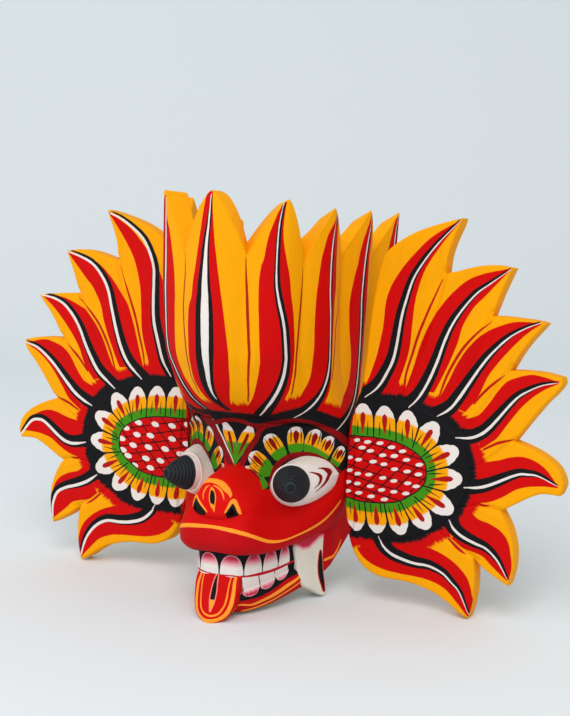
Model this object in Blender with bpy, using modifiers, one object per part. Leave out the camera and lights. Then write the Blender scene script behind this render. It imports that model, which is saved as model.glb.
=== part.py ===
# Fire demon mask: a painted, carved wall mask of light wood.
# Three pieces: the hollow head with its flame crown, and two flat ear wings of seven flames each.
# Metres, +Z up. The face looks along -Y and X = 0 is the mirror plane. The mask stands on the end
# of its tongue and on the lowest tip of each wing, and leans back a little, wings and rim alike.

import math

import bmesh
import bpy
import numpy as np

# Driving sizes of the head
SIDE_START_Y = 0.0030
CROWN_SPLIT = 0.1960
RIM_Y = 0.0480
RIM_HALF_WIDTH = 0.0515
LEAN = 0.083
FLOOR_THICKNESS = 0.0110

# The crown's nine petals, from the middle one round to the rim: tips and notches along half of
# the wall, heights of the tips on each side, how far each tip slopes down to the inside, how the
# edge bows from a tip to the notch beside it (1 is straight, more is fuller), heights of the
# notches outside and inside the wall, and how deep the valley under each notch is carved
PETAL_MARKS = (0.0, 0.72, 1.45, 1.93, 2.52, 3.02, 3.35, 3.66, 4.0)
TIPS_RIGHT = (0.2540, 0.2490, 0.2430, 0.2400, 0.2370)
TIPS_LEFT = (0.2540, 0.2530, 0.2480, 0.2410, 0.2370)
TIP_SLOPES_RIGHT = (0.0010, 0.0030, 0.0075, 0.0080, 0.0080)
TIP_SLOPES_LEFT = (0.0010, 0.0020, 0.0010, 0.0060, 0.0080)
BOWS_OUTSIDE = (1.35, 1.35, 1.20, 1.15, 1.15)
BOWS_INSIDE = (2.10, 1.30, 1.05, 1.00, 1.00)
NOTCHES_OUTSIDE = (0.2172, 0.2113, 0.2130, 0.2100)
NOTCHES_INSIDE = (0.2245, 0.2242, 0.2200, 0.2180)
VALLEY_DEPTHS = (0.0048, 0.0045, 0.0072, 0.0080)
RIDGE_SHARPNESS = 1.25

# Fineness of the head's faces
MARK_COLUMNS = (5, 5, 3, 4, 2, 2, 2, 2)
LINE_STEPS = (2, 1, 1, 1, 2, 1, 2, 2, 2, 2, 2, 2, 2, 2, 1, 1, 2, 2, 1, 1)
PETAL_STEPS = 5
HOLLOW_ROWS = 9

# Eyes
EYE_PLANE_INNER = (0.0185, -0.0310)
EYE_PLANE_OUTER = (0.0540, -0.0060)
EYE_OUTLINE = (
    (0.0181, 0.0749), (0.0186, 0.0706), (0.0206, 0.0667), (0.0240, 0.0632), (0.0283, 0.0619),
    (0.0335, 0.0642), (0.0389, 0.0681), (0.0430, 0.0717), (0.0465, 0.0752), (0.0531, 0.0813),
    (0.0490, 0.0876), (0.0429, 0.0913), (0.0360, 0.0926), (0.0310, 0.0912), (0.0263, 0.0881),
    (0.0218, 0.0825),
)
EYE_SINK = 0.0060
PUPIL_BASE = (0.0348, -0.0345, 0.0798)
PUPIL_RADIUS = 0.0113
PUPIL_TIP = (0.0424, -0.0518, 0.0838)
PUPIL_SIDES = 16
# how far along its length each ring of the pupil stands, and its share of the radius
PUPIL_RINGS = (
    (-0.25, 1.00), (0.00, 1.00), (0.35, 0.93), (0.62, 0.79), (0.82, 0.58), (0.95, 0.33), (1.00, 0.12),
)

# Nose: height, half-width and how far forward, from the bottom up
NOSE_SECTIONS = (
    (0.0600, 0.0150, -0.0640),
    (0.0625, 0.0180, -0.0695),
    (0.0665, 0.0186, -0.0716),
    (0.0720, 0.0164, -0.0716),
    (0.0770, 0.0138, -0.0710),
    (0.0815, 0.0108, -0.0700),
    (0.0845, 0.0086, -0.0672),
    (0.0865, 0.0066, -0.0600),
    (0.0880, 0.0044, -0.0490),
)
NOSE_ROOT_Y = -0.0340
NOSE_POINTS = 14
NOSTRIL_OUTLINE = ((0.0134, 0.0760), (0.0170, 0.0655), (0.0058, 0.0642))
NOSTRIL_DEPTH = 0.0050

# Tongue: height, how far forward, half-width
TONGUE_SECTIONS = (
    (0.0300, -0.0560, 0.0130),
    (0.0272, -0.0625, 0.0142),
    (0.0220, -0.0668, 0.0145),
    (0.0160, -0.0690, 0.0142),
    (0.0100, -0.0712, 0.0134),
    (0.0055, -0.0733, 0.0118),
    (0.0022, -0.0748, 0.0094),
    (0.0000, -0.0756, 0.0062),
)
TONGUE_THICKNESS = 0.0100
TONGUE_CROWN = 0.0030
TONGUE_POINTS = 10

# Tusks: the outline of the outer face, seen from the side (y, z), and its plan
TUSK_OUTLINE = (
    (-0.0262, 0.0430), (-0.0265, 0.0360), (-0.0255, 0.0290), (-0.0240, 0.0200), (-0.0215, 0.0120),
    (-0.0170, 0.0085), (-0.0115, 0.0050), (-0.0065, 0.0015), (-0.0032, 0.0003), (-0.0020, 0.0040),
    (-0.0030, 0.0120), (-0.0042, 0.0220), (-0.0045, 0.0330), (-0.0040, 0.0430),
)
TUSK_FRONT_X = 0.0340
TUSK_BACK_X = 0.0432
TUSK_THICKNESS = 0.0115
TUSK_EDGE = 0.0022

# Ear wings: a flat leaning board each
WING_THICKNESS = 0.0118
WING_FRONT_Y = -0.0065
WING_GAP = 0.0003
WING_EDGE = 0.0012
GROOVE_DEPTH = 0.0014
GROOVE_HALF_WIDTH = 0.0026
EAR_BOSS_HEIGHT = 0.0012
SAW_MARGIN = 0.0009
SAW_MARGIN_START = 0.0560
SAW_MARGIN_FADE = 0.0080
SHARPEST_MARGIN = 1.6
LOWEST_ON_BOARD = 0.0009


def clear_scene():
    for obj in list(bpy.data.objects):
        bpy.data.objects.remove(obj)


def collection(name):
    group = bpy.data.collections.new(name)
    bpy.context.scene.collection.children.link(group)
    return group


def material(name, colour, roughness):
    made = bpy.data.materials.new(name)
    made.use_nodes = True
    shader = made.node_tree.nodes["Principled BSDF"]
    shader.inputs["Base Color"].default_value = (*colour, 1.0)
    shader.inputs["Roughness"].default_value = roughness
    shader.inputs["Metallic"].default_value = 0.0
    return made


def mesh_object(name, points, faces, group):
    mesh = bpy.data.meshes.new(name)
    mesh.from_pydata([tuple(p) for p in points], [], [tuple(f) for f in faces])
    mesh.validate()
    obj = bpy.data.objects.new(name, mesh)
    group.objects.link(obj)
    return obj


def face_outwards(obj):
    shape = bmesh.new()
    shape.from_mesh(obj.data)
    bmesh.ops.recalc_face_normals(shape, faces=shape.faces)
    shape.to_mesh(obj.data)
    shape.free()


def helper(obj):
    obj.hide_render = True
    obj.display_type = "WIRE"


def boolean(obj, other, operation):
    modifier = obj.modifiers.new(other.name, "BOOLEAN")
    modifier.operation = operation
    modifier.solver = "EXACT"
    modifier.object = other


# Curves through named points

def monotone(knots, values, at):
    """Smooth curve through the values at the knots, along axis 0, that never overshoots them."""
    knots = np.asarray(knots, float)
    values = np.asarray(values, float)
    at = np.asarray(at, float)
    step = np.diff(knots)
    step = step.reshape((-1,) + (1,) * (values.ndim - 1))
    slope = np.diff(values, axis=0) / step
    before, after = slope[:-1], slope[1:]
    same = before * after > 0
    total = np.where(same, before + after, 1.0)
    inner = np.where(same, 2.0 * before * after / total, 0.0)
    tangent = np.concatenate([slope[:1], inner, slope[-1:]])
    k = np.clip(np.searchsorted(knots, at, side="right") - 1, 0, len(knots) - 2)
    w = (at - knots[k]) / np.diff(knots)[k]
    w = w.reshape((-1,) + (1,) * (values.ndim - 1))
    h = np.diff(knots)[k].reshape(w.shape)
    return (
        (2 * w**3 - 3 * w**2 + 1) * values[k]
        + (w**3 - 2 * w**2 + w) * h * tangent[k]
        + (3 * w**2 - 2 * w**3) * values[k + 1]
        + (w**3 - w**2) * h * tangent[k + 1]
    )


def through(points, at):
    """Catmull-Rom curve through points 0, 1, 2 ... of the second axis, with one more at each end."""
    k = np.clip(np.floor(at).astype(int), 0, points.shape[1] - 4)
    w = (at - k)[None, :, None]
    p = [points[:, k + n] for n in range(4)]
    return 0.5 * (
        2 * p[1]
        + (p[2] - p[0]) * w
        + (2 * p[0] - 5 * p[1] + 4 * p[2] - p[3]) * w**2
        + (3 * p[1] - p[0] - 3 * p[2] + p[3]) * w**3
    )


# The head's carving lines, from the chin up. Each is drawn on the right half by four points:
# the middle (y, z), the snout's corner (x, y, z), the cheek (x, y, z) and the side (x, z). The last
# number is the height at which it meets the rim.
FACE_LINES = (
    # chin edge
    ((-0.0585, 0.0020), (0.0140, -0.0550, 0.0025), (0.0275, -0.0325, 0.0060), (0.0440, 0.0190), 0.0620),
    # fullest line of the lower lip
    ((-0.0630, 0.0080), (0.0155, -0.0585, 0.0085), (0.0300, -0.0335, 0.0125), (0.0444, 0.0240), 0.0640),
    # top of the lower lip
    ((-0.0640, 0.0150), (0.0160, -0.0600, 0.0150), (0.0300, -0.0310, 0.0195), (0.0446, 0.0290), 0.0670),
    # foot of the lower teeth
    ((-0.0615, 0.0165), (0.0145, -0.0585, 0.0165), (0.0275, -0.0300, 0.0210), (0.0448, 0.0310), 0.0680),
    # where the rows of teeth meet
    ((-0.0648, 0.0260), (0.0150, -0.0600, 0.0255), (0.0275, -0.0330, 0.0250), (0.0452, 0.0370), 0.0700),
    # top of the upper teeth
    ((-0.0640, 0.0395), (0.0145, -0.0595, 0.0390), (0.0265, -0.0350, 0.0390), (0.0462, 0.0450), 0.0740),
    # lower edge of the upper lip
    ((-0.0670, 0.0405), (0.0180, -0.0645, 0.0400), (0.0305, -0.0420, 0.0395), (0.0480, 0.0475), 0.0750),
    # fullest line of the upper lip
    ((-0.0720, 0.0480), (0.0212, -0.0688, 0.0470), (0.0330, -0.0455, 0.0430), (0.0520, 0.0560), 0.0790),
    # painted line along the lip
    ((-0.0705, 0.0560), (0.0212, -0.0690, 0.0550), (0.0335, -0.0450, 0.0465), (0.0548, 0.0672), 0.0830),
    # under the nose and along the cheek
    ((-0.0665, 0.0640), (0.0195, -0.0625, 0.0640), (0.0325, -0.0390, 0.0580), (0.0550, 0.0728), 0.0870),
    # below the eye
    ((-0.0480, 0.0760), (0.0190, -0.0400, 0.0730), (0.0315, -0.0285, 0.0670), (0.0550, 0.0777), 0.0900),
    # through the eye
    ((-0.0410, 0.0870), (0.0180, -0.0315, 0.0800), (0.0325, -0.0215, 0.0800), (0.0550, 0.0843), 0.0940),
    # above the eye
    ((-0.0400, 0.0980), (0.0165, -0.0330, 0.0970), (0.0325, -0.0225, 0.0975), (0.0550, 0.0918), 0.0970),
    # foot of the brow ridge
    ((-0.0390, 0.1105), (0.0150, -0.0370, 0.1105), (0.0330, -0.0235, 0.1080), (0.0548, 0.0970), 0.1000),
    # crest of the brow ridge
    ((-0.0405, 0.1150), (0.0150, -0.0405, 0.1145), (0.0345, -0.0255, 0.1122), (0.0550, 0.1000), 0.1025),
)

# The crown's profile: height in the middle, height at the side, how far the front stands out, the
# half-width at the side, what the rim adds to it, how square the plan is, and how much of the
# valleys' depth is reached
CROWN_PROFILE = (
    (0.1195, 0.1055, -0.0455, 0.0548, 0.0000, -4.5, 0.00),
    (0.1236, 0.1110, -0.0530, 0.0545, 0.0000, -3.0, 0.05),
    (0.1320, 0.1200, -0.0650, 0.0540, 0.0000, -2.0, 0.20),
    (0.1485, 0.1400, -0.0755, 0.0540, 0.0010, -0.8, 0.50),
    (0.1635, 0.1600, -0.0790, 0.0545, 0.0025, 0.3, 0.75),
    (0.1960, 0.1960, -0.0757, 0.0560, 0.0050, 1.0, 1.00),
    (0.2540, 0.2540, -0.0680, 0.0575, 0.0060, 1.2, 1.00),
)

# The hollow: height, how far its front reaches and its half-width
HOLLOW = (
    (0.000, -0.0330, 0.0180),
    (0.025, -0.0400, 0.0220),
    (0.050, -0.0480, 0.0340),
    (0.066, -0.0420, 0.0400),
    (0.080, -0.0190, 0.0405),
    (0.100, -0.0200, 0.0405),
    (0.114, -0.0230, 0.0405),
    (0.123, -0.0340, 0.0400),
    (0.134, -0.0510, 0.0390),
    (0.163, -0.0630, 0.0390),
    (0.196, -0.0610, 0.0400),
    (0.225, -0.0585, 0.0430),
    (0.254, -0.0560, 0.0455),
)


def rim_y(z):
    return RIM_Y + LEAN * z


def ring(front, middle_z, side_z, half_width, rim_extra, square):
    """Five points of a round line: the middle, a third and two thirds round, the side, the rim."""
    depth = front - SIDE_START_Y
    drop = side_z - middle_z
    near, far = 0.5 + 0.03 * square, 0.866 + 0.019 * square
    return [
        (0.0, front, middle_z),
        (half_width * near, SIDE_START_Y + depth * (0.866 + 0.009 * square), middle_z + drop * 0.20),
        (half_width * far, SIDE_START_Y + depth * near, middle_z + drop * 0.60),
        (half_width, SIDE_START_Y, side_z),
        (half_width + rim_extra, rim_y(side_z), side_z),
    ]


def head_levels():
    """Control points of every line, as levels x 5 x 3, and each level's share of the valleys."""
    levels = []
    shares = []
    for (front, middle_z), corner, cheek, (side, side_z), rim_z in FACE_LINES:
        line = [(0.0, front, middle_z), corner, cheek, (side, SIDE_START_Y, side_z)]
        levels.append(line + [(max(side, RIM_HALF_WIDTH), rim_y(rim_z), rim_z)])
        shares.append(0.0)
    for middle_z, side_z, front, width, extra, square, share in CROWN_PROFILE[:-1]:
        levels.append(ring(front, middle_z, side_z, width, extra, square))
        shares.append(share)
    return np.array(levels), np.array(shares)


def plan_points(levels, at):
    """The right half of each level at the places 0 (middle) to 3 (side) to 4 (rim)."""
    mirror = levels[:, 1:2] * (-1, 1, 1)
    side, rim = levels[:, 3:4], levels[:, 4:5]
    reach = np.linalg.norm(levels[:, 3:4] - levels[:, 2:3], axis=2, keepdims=True)
    along = (rim - side) / np.linalg.norm(rim - side, axis=2, keepdims=True)
    control = np.concatenate([mirror, levels[:, :4], side + along * reach], axis=1)
    curved = through(control, np.clip(at, -0.5, 3.0 - 1e-9))
    back = np.maximum(at - 3.0, 0.0)[None, :, None]
    spread = np.concatenate([1.0 - (1.0 - back) ** 2, back, back], axis=2)
    return np.where((at < 3.0)[None, :, None], curved, side + (rim - side) * spread)


def plan_normals(levels, at):
    """Level direction out of the wall at those places."""
    step = plan_points(levels, at + 1e-3) - plan_points(levels, at - 1e-3)
    out = np.stack([step[..., 1], -step[..., 0], 0 * step[..., 0]], axis=-1)
    return out / np.linalg.norm(out, axis=-1, keepdims=True)


def half_columns(counts):
    """Places along half of the wall, with a column on every tip and notch of the crown."""
    places = [0.0]
    for start, end, count in zip(PETAL_MARKS[:-1], PETAL_MARKS[1:], counts):
        places += [start + (end - start) * (n + 1) / count for n in range(count)]
    return np.array(places)


def petal_phase(at):
    """0 on a petal's tip and 1 in a notch."""
    return np.interp(at, PETAL_MARKS, [n % 2 for n in range(len(PETAL_MARKS))])


def valley_depth(at):
    """How deep the valleys are carved at each place, ridges staying as they are."""
    deepest = np.interp(at, PETAL_MARKS[1::2], VALLEY_DEPTHS)
    return deepest * petal_phase(at) ** RIDGE_SHARPNESS


def petal_outline(at, tips, notches, bows):
    """Height of the crown's edge: it falls from each tip to the notch beside it in a bow."""
    petal = np.searchsorted(PETAL_MARKS[1::2], at)
    tip, bow = np.array(tips)[petal], np.array(bows)[petal]
    notch = np.interp(at, PETAL_MARKS[1::2], notches)
    return tip - (tip - notch) * petal_phase(at) ** bow


def whole(left, right):
    """One sheet from two right halves, left rim to right rim."""
    return np.concatenate([left[:, :0:-1] * (-1, 1, 1), right], axis=1)


def upper_rows(at, top):
    """The petals above the split, in rows that climb to their outline."""
    bottom, end = np.array(CROWN_PROFILE[-2]), np.array(CROWN_PROFILE[-1])
    rows = []
    for n in range(1, PETAL_STEPS + 1):
        columns = []
        for place, height in zip(at, CROWN_SPLIT + (top - CROWN_SPLIT) * n / PETAL_STEPS):
            share = (height - bottom[0]) / (end[0] - bottom[0])
            _, _, front, width, extra, square, _ = bottom + (end - bottom) * share
            level = np.array([ring(front, height, height, width, extra, square)])
            where = np.array([place])
            depth = valley_depth(where)[0]
            point = plan_points(level, where)[0, 0] - plan_normals(level, where)[0, 0] * depth
            columns.append(point)
        rows.append(columns)
    return np.array(rows)


def outer_wall():
    at = half_columns(MARK_COLUMNS)
    levels, shares = head_levels()
    rows = [0.0]
    for n, count in enumerate(LINE_STEPS):
        rows += [n + (k + 1) / count for k in range(count)]
    control = monotone(np.arange(len(levels)), levels, rows)
    share = monotone(np.arange(len(levels)), shares, rows)
    depth = share[:, None, None] * valley_depth(at)[None, :, None]
    lower = plan_points(control, at) - plan_normals(control, at) * depth
    halves = []
    for tips in (TIPS_LEFT, TIPS_RIGHT):
        top = petal_outline(at, tips, NOTCHES_OUTSIDE, BOWS_OUTSIDE)
        halves.append(np.concatenate([lower, upper_rows(at, top)]))
    return whole(*halves)


def hollow_wall():
    """The inside of the wall: a plain gouged U, deeper in the snout and in the crown."""
    at = half_columns(MARK_COLUMNS)
    sizes = np.array(HOLLOW)
    foot = plan_points(head_levels()[0][:1], at)[0, :, 2] + FLOOR_THICKNESS
    halves = []
    for tips, slopes in ((TIPS_LEFT, TIP_SLOPES_LEFT), (TIPS_RIGHT, TIP_SLOPES_RIGHT)):
        top = petal_outline(at, np.subtract(tips, slopes), NOTCHES_INSIDE, BOWS_INSIDE)
        rows = []
        for n in range(HOLLOW_ROWS + 1):
            columns = []
            for place, height in zip(at, foot + (top - foot) * n / HOLLOW_ROWS):
                front, width = monotone(sizes[:, 0], sizes[:, 1:], [height])[0]
                level = np.array([ring(front, height, height, width, 0.0060, 0.0)])
                columns.append(plan_points(level, np.array([place]))[0, 0])
            rows.append(columns)
        halves.append(np.array(rows))
    return whole(*halves)


def sheet(rows, columns, start):
    """Faces of a grid of points stored row by row."""
    return [
        (start + r * columns + c, start + r * columns + c + 1,
         start + (r + 1) * columns + c + 1, start + (r + 1) * columns + c)
        for r in range(rows - 1)
        for c in range(columns - 1)
    ]


def stitch(first, second):
    """Triangles between two rows of point numbers of unlike length."""
    faces = []
    a = b = 0
    while a < len(first) - 1 or b < len(second) - 1:
        ahead = (a + 1) * (len(second) - 1) <= (b + 1) * (len(first) - 1)
        if b == len(second) - 1 or (a < len(first) - 1 and ahead):
            faces.append((first[a], first[a + 1], second[b]))
            a += 1
        else:
            faces.append((first[a], second[b + 1], second[b]))
            b += 1
    return faces


def across(row, count):
    """Faces between the left and right halves of one row of a sheet, closing it below."""
    middle = count // 2
    faces = [(row + middle - 1, row + middle, row + middle + 1)]
    for n in range(1, middle):
        faces.append((row + middle - n - 1, row + middle - n, row + middle + n, row + middle + n + 1))
    return faces


def head_shell(group):
    outer = outer_wall()
    inner = hollow_wall()
    rows, columns = outer.shape[:2]
    inner_rows = inner.shape[0]
    base = rows * columns
    points = np.concatenate([outer.reshape(-1, 3), inner.reshape(-1, 3)])
    faces = sheet(rows, columns, 0)
    faces += sheet(inner_rows, columns, base)
    faces += across(0, columns) + across(base, columns)
    top = [(rows - 1) * columns + c for c in range(columns)]
    inner_top = [base + (inner_rows - 1) * columns + c for c in range(columns)]
    faces += stitch(top, inner_top)
    for column in (0, columns - 1):
        outer_edge = [r * columns + column for r in range(rows)]
        inner_edge = [base + r * columns + column for r in range(inner_rows)]
        faces += stitch(outer_edge, inner_edge)
    faces += [(0, columns - 1, base + columns - 1, base)]
    obj = mesh_object("head", points, faces, group)
    face_outwards(obj)
    return obj


def lofted(name, rings, group):
    """A closed body through rings of equal length, with a flat cap at each end."""
    count = len(rings[0])
    points = [p for line in rings for p in line]
    faces = []
    for r in range(len(rings) - 1):
        for c in range(count):
            d = (c + 1) % count
            faces.append((r * count + c, r * count + d, (r + 1) * count + d, (r + 1) * count + c))
    faces.append(tuple(range(count)))
    faces.append(tuple((len(rings) - 1) * count + c for c in range(count)))
    obj = mesh_object(name, points, faces, group)
    face_outwards(obj)
    return obj


def nose(group):
    """Level sections from the lip up, each flat in front with rounded sides."""
    rings = []
    for z, half, front in NOSE_SECTIONS:
        line = []
        for n in range(NOSE_POINTS + 1):
            turn = math.pi * n / NOSE_POINTS
            x = -half * np.sign(math.cos(turn)) * abs(math.cos(turn)) ** 0.75
            line.append((x, NOSE_ROOT_Y + (front - NOSE_ROOT_Y) * math.sin(turn) ** 0.62, z))
        rings.append(line)
    return lofted("nose", rings, group)


def nostril(side, group):
    """A carved triangle that narrows as it goes in."""
    centre = np.mean(NOSTRIL_OUTLINE, axis=0)
    rings = []
    for y, scale in ((-0.0800, 1.15), (-0.0705, 1.0), (-0.0705 + NOSTRIL_DEPTH, 0.45)):
        corners = centre + (np.array(NOSTRIL_OUTLINE) - centre) * scale
        rings.append([(side * x, y, z) for x, z in corners])
    return lofted("nostril_cutter", rings, group)


def eye_point(x, z, out):
    """A point over the eye's own slanting plane."""
    (x0, y0), (x1, y1) = EYE_PLANE_INNER, EYE_PLANE_OUTER
    length = math.hypot(x1 - x0, y1 - y0)
    normal = np.array([(y1 - y0) / length, -(x1 - x0) / length, 0.0])
    y = y0 + (y1 - y0) * (x - x0) / (x1 - x0)
    return np.array([x, y, z]) + normal * out


def pupil_frame():
    base = np.array(PUPIL_BASE)
    axis = np.array(PUPIL_TIP) - base
    length = np.linalg.norm(axis)
    axis = axis / length
    across = np.cross((0.0, 0.0, 1.0), axis)
    across /= np.linalg.norm(across)
    return base, axis, across, np.cross(axis, across), length


def eyeball(side, group):
    """A steep-walled mound from the almond outline to the round foot of the pupil."""
    base, axis, across, up, length = pupil_frame()
    foot = np.array([eye_point(x, z, 0.0) for x, z in EYE_OUTLINE])
    toward = foot - base
    angles = np.arctan2(toward @ up, toward @ across)
    radius = PUPIL_RADIUS + 0.0008
    top = np.array([base + (across * math.cos(a) + up * math.sin(a)) * radius for a in angles])
    normal = eye_point(0.03, 0.08, 1.0) - eye_point(0.03, 0.08, 0.0)
    rings = [foot - normal * EYE_SINK, foot]
    for share in (0.35, 0.68, 0.90):
        swell = math.sin(share * math.pi) * 0.0022
        outward = (foot - top) / (np.linalg.norm(foot - top, axis=1, keepdims=True) + 1e-9)
        rings.append(foot + (top - foot) * share + normal * swell + outward * swell * 0.3)
    rings.append(top)
    rings = [[(side * p[0], p[1], p[2]) for p in line] for line in rings]
    return lofted("eyeball", rings, group)


def pupil(side, group):
    """A stub of a cone with a rounded end."""
    base, axis, across, up, length = pupil_frame()
    rings = []
    for along, scale in PUPIL_RINGS:
        line = []
        for n in range(PUPIL_SIDES):
            turn = 2 * math.pi * n / PUPIL_SIDES
            spoke = across * math.cos(turn) + up * math.sin(turn)
            p = base + axis * along * length + spoke * PUPIL_RADIUS * scale
            line.append((side * p[0], p[1], p[2]))
        rings.append(line)
    return lofted("pupil", rings, group)


def tongue(group):
    """A thick leaf that hangs over the lower lip and turns out to its tip."""
    rings = []
    for z, front, half in TONGUE_SECTIONS:
        line = []
        for n in range(TONGUE_POINTS + 1):
            x = -half + 2 * half * n / TONGUE_POINTS
            bow = 1.0 - (x / half) ** 2
            line.append((x, front + TONGUE_CROWN * (1 - bow) - TONGUE_CROWN * 0.5 * bow, z))
        for n in range(TONGUE_POINTS + 1):
            x = half - 2 * half * n / TONGUE_POINTS
            line.append((x, front + TONGUE_CROWN + TONGUE_THICKNESS, z + 0.0015))
        rings.append(line)
    return lofted("tongue", rings, group)


def tusk(side, group):
    """A flat-sided fang, with its edges rounded over."""
    slope = (TUSK_BACK_X - TUSK_FRONT_X) / (TUSK_OUTLINE[-1][0] - TUSK_OUTLINE[0][0])
    outward = np.array([1.0, -slope, 0.0]) / math.hypot(1.0, slope)
    centre = np.mean(TUSK_OUTLINE, axis=0)
    rings = []
    for depth, inset in ((0.0, TUSK_EDGE), (TUSK_EDGE * 0.5, TUSK_EDGE * 0.3), (TUSK_EDGE * 1.4, 0.0),
                         (TUSK_THICKNESS, 0.0)):
        line = []
        for y, z in TUSK_OUTLINE:
            to_centre = centre - (y, z)
            to_centre /= np.linalg.norm(to_centre)
            y, z = np.array([y, z]) + to_centre * inset * (z < 0.042)
            x = TUSK_FRONT_X + slope * (y - TUSK_OUTLINE[0][0])
            p = np.array([x, y, z]) - outward * depth
            line.append((side * p[0], p[1], p[2]))
        rings.append(line)
    return lofted("tusk", rings, group)


def head(parts, cutters):
    shell = head_shell(parts)
    added = [nose(cutters), tongue(cutters)]
    for side in (-1, 1):
        added += [eyeball(side, cutters), pupil(side, cutters), tusk(side, cutters)]
    for piece in added:
        helper(piece)
        boolean(shell, piece, "UNION")
    for side in (-1, 1):
        cutter = nostril(side, cutters)
        helper(cutter)
        boolean(shell, cutter, "DIFFERENCE")
    return shell


# One wing's outline on its board: out from the middle of the mask and up along the board.
# It starts at the top tip and goes round the seven flames, under the wing and up its inner edge.
WING_OUTLINE = (
    (0.1216, 0.2368), (0.1203, 0.2330), (0.1183, 0.2285), (0.1140, 0.2159), (0.1128, 0.2039),
    (0.1220, 0.2060), (0.1319, 0.2088), (0.1442, 0.2102), (0.1532, 0.2089),
    (0.1500, 0.2015), (0.1467, 0.1934), (0.1423, 0.1806),
    (0.1510, 0.1806), (0.1601, 0.1800), (0.1702, 0.1791), (0.1743, 0.1783),
    (0.1705, 0.1738), (0.1664, 0.1690), (0.1592, 0.1582), (0.1548, 0.1497),
    (0.1672, 0.1499), (0.1750, 0.1495), (0.1856, 0.1475), (0.1860, 0.1450),
    (0.1771, 0.1337), (0.1680, 0.1217), (0.1589, 0.1089),
    (0.1740, 0.1035), (0.1858, 0.0954), (0.1895, 0.0865), (0.1879, 0.0812),
    (0.1771, 0.0811), (0.1652, 0.0753), (0.1530, 0.0678),
    (0.1585, 0.0582), (0.1620, 0.0466), (0.1620, 0.0336), (0.1600, 0.0251),
    (0.1492, 0.0309), (0.1383, 0.0385),
    (0.1395, 0.0251), (0.1387, 0.0121), (0.1363, 0.0011),
    (0.1272, 0.0078), (0.1159, 0.0143), (0.0982, 0.0186), (0.0804, 0.0197), (0.0701, 0.0240),
    (0.0614, 0.0357), (0.0575, 0.0489), (0.0556, 0.0657), (0.0555, 0.0830), (0.0555, 0.0964),
    (0.0570, 0.1120), (0.0636, 0.1310), (0.0664, 0.1520), (0.0681, 0.1731), (0.0714, 0.1981),
    (0.0760, 0.2148), (0.0810, 0.2199), (0.0944, 0.2281), (0.1081, 0.2330),
)

# The raised ear in the middle of each wing, and the carved lines that run in from the notches
EAR_OUTLINE = (
    (0.0600, 0.1290), (0.0700, 0.1302), (0.0830, 0.1290), (0.0950, 0.1262), (0.1080, 0.1215),
    (0.1210, 0.1130), (0.1300, 0.1030), (0.1345, 0.0910), (0.1330, 0.0780), (0.1270, 0.0650),
    (0.1160, 0.0540), (0.1020, 0.0470), (0.0880, 0.0430), (0.0740, 0.0415), (0.0625, 0.0420),
)
GROOVES = (
    ((0.1128, 0.2039), (0.1085, 0.1850), (0.1010, 0.1620), (0.0930, 0.1400), (0.0880, 0.1300)),
    ((0.1423, 0.1806), (0.1360, 0.1640), (0.1250, 0.1440), (0.1150, 0.1290)),
    ((0.1548, 0.1497), (0.1470, 0.1370), (0.1380, 0.1240), (0.1280, 0.1120)),
    ((0.1589, 0.1089), (0.1500, 0.1010), (0.1420, 0.0950), (0.1340, 0.0900)),
    ((0.1530, 0.0678), (0.1460, 0.0690), (0.1380, 0.0690), (0.1290, 0.0670)),
    ((0.1383, 0.0385), (0.1320, 0.0420), (0.1230, 0.0470), (0.1150, 0.0520)),
)


def board_point(u, v, out):
    """A point of the leaning board: out from the middle, up along it, and in front of its face."""
    lean = math.atan(LEAN)
    up = np.array([0.0, math.sin(lean), math.cos(lean)])
    front = np.array([0.0, -math.cos(lean), math.sin(lean)])
    return np.array([u, WING_FRONT_Y, 0.0]) + up * v + front * out


def rounded(outline, steps):
    """The closed outline again, its soft corners drawn round and its sharp ones kept."""
    points = np.array(outline)
    count = len(points)
    smooth = []
    for n in range(count):
        a, b, c, d = (points[(n + k) % count] for k in (-1, 0, 1, 2))
        before = (b - a) if corner_angle(a, b, c) < 50 else (c - b)
        after = (d - c) if corner_angle(b, c, d) < 50 else (c - b)
        length = np.linalg.norm(c - b)
        start = (before / np.linalg.norm(before) + (c - b) / length) * 0.5 * length
        end = (after / np.linalg.norm(after) + (c - b) / length) * 0.5 * length
        for k in range(steps):
            w = k / steps
            smooth.append(
                (2 * w**3 - 3 * w**2 + 1) * b
                + (w**3 - 2 * w**2 + w) * start
                + (3 * w**2 - 2 * w**3) * c
                + (w**3 - w**2) * end
            )
    return smooth


def corner_angle(a, b, c):
    first, second = b - a, c - b
    cosine = first @ second / (np.linalg.norm(first) * np.linalg.norm(second))
    return math.degrees(math.acos(max(-1.0, min(1.0, cosine))))


def sawn(outline):
    """The outline with the wood that the saw left outside the drawn line, none beside the head."""
    points = np.array(outline)
    along = np.roll(points, -1, axis=0) - points
    along /= np.linalg.norm(along, axis=1, keepdims=True)
    after = np.stack([-along[:, 1], along[:, 0]], axis=1)
    before = np.roll(after, 1, axis=0)
    both = before + after
    mitre = both / np.maximum((both**2).sum(axis=1, keepdims=True) / 2, 1e-6)
    length = np.linalg.norm(mitre, axis=1, keepdims=True)
    mitre *= np.minimum(length, SHARPEST_MARGIN) / length
    share = np.clip((points[:, :1] - SAW_MARGIN_START) / SAW_MARGIN_FADE, 0.0, 1.0)
    points = points + mitre * share * SAW_MARGIN
    points[:, 1] = np.maximum(points[:, 1], LOWEST_ON_BOARD)
    return points


def board(name, side, outline, back, front, group):
    rings = []
    for out in (back, front):
        line = [board_point(u, v, out) for u, v in outline]
        rings.append([(side * p[0], p[1], p[2]) for p in line])
    return lofted(name, rings, group)


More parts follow.
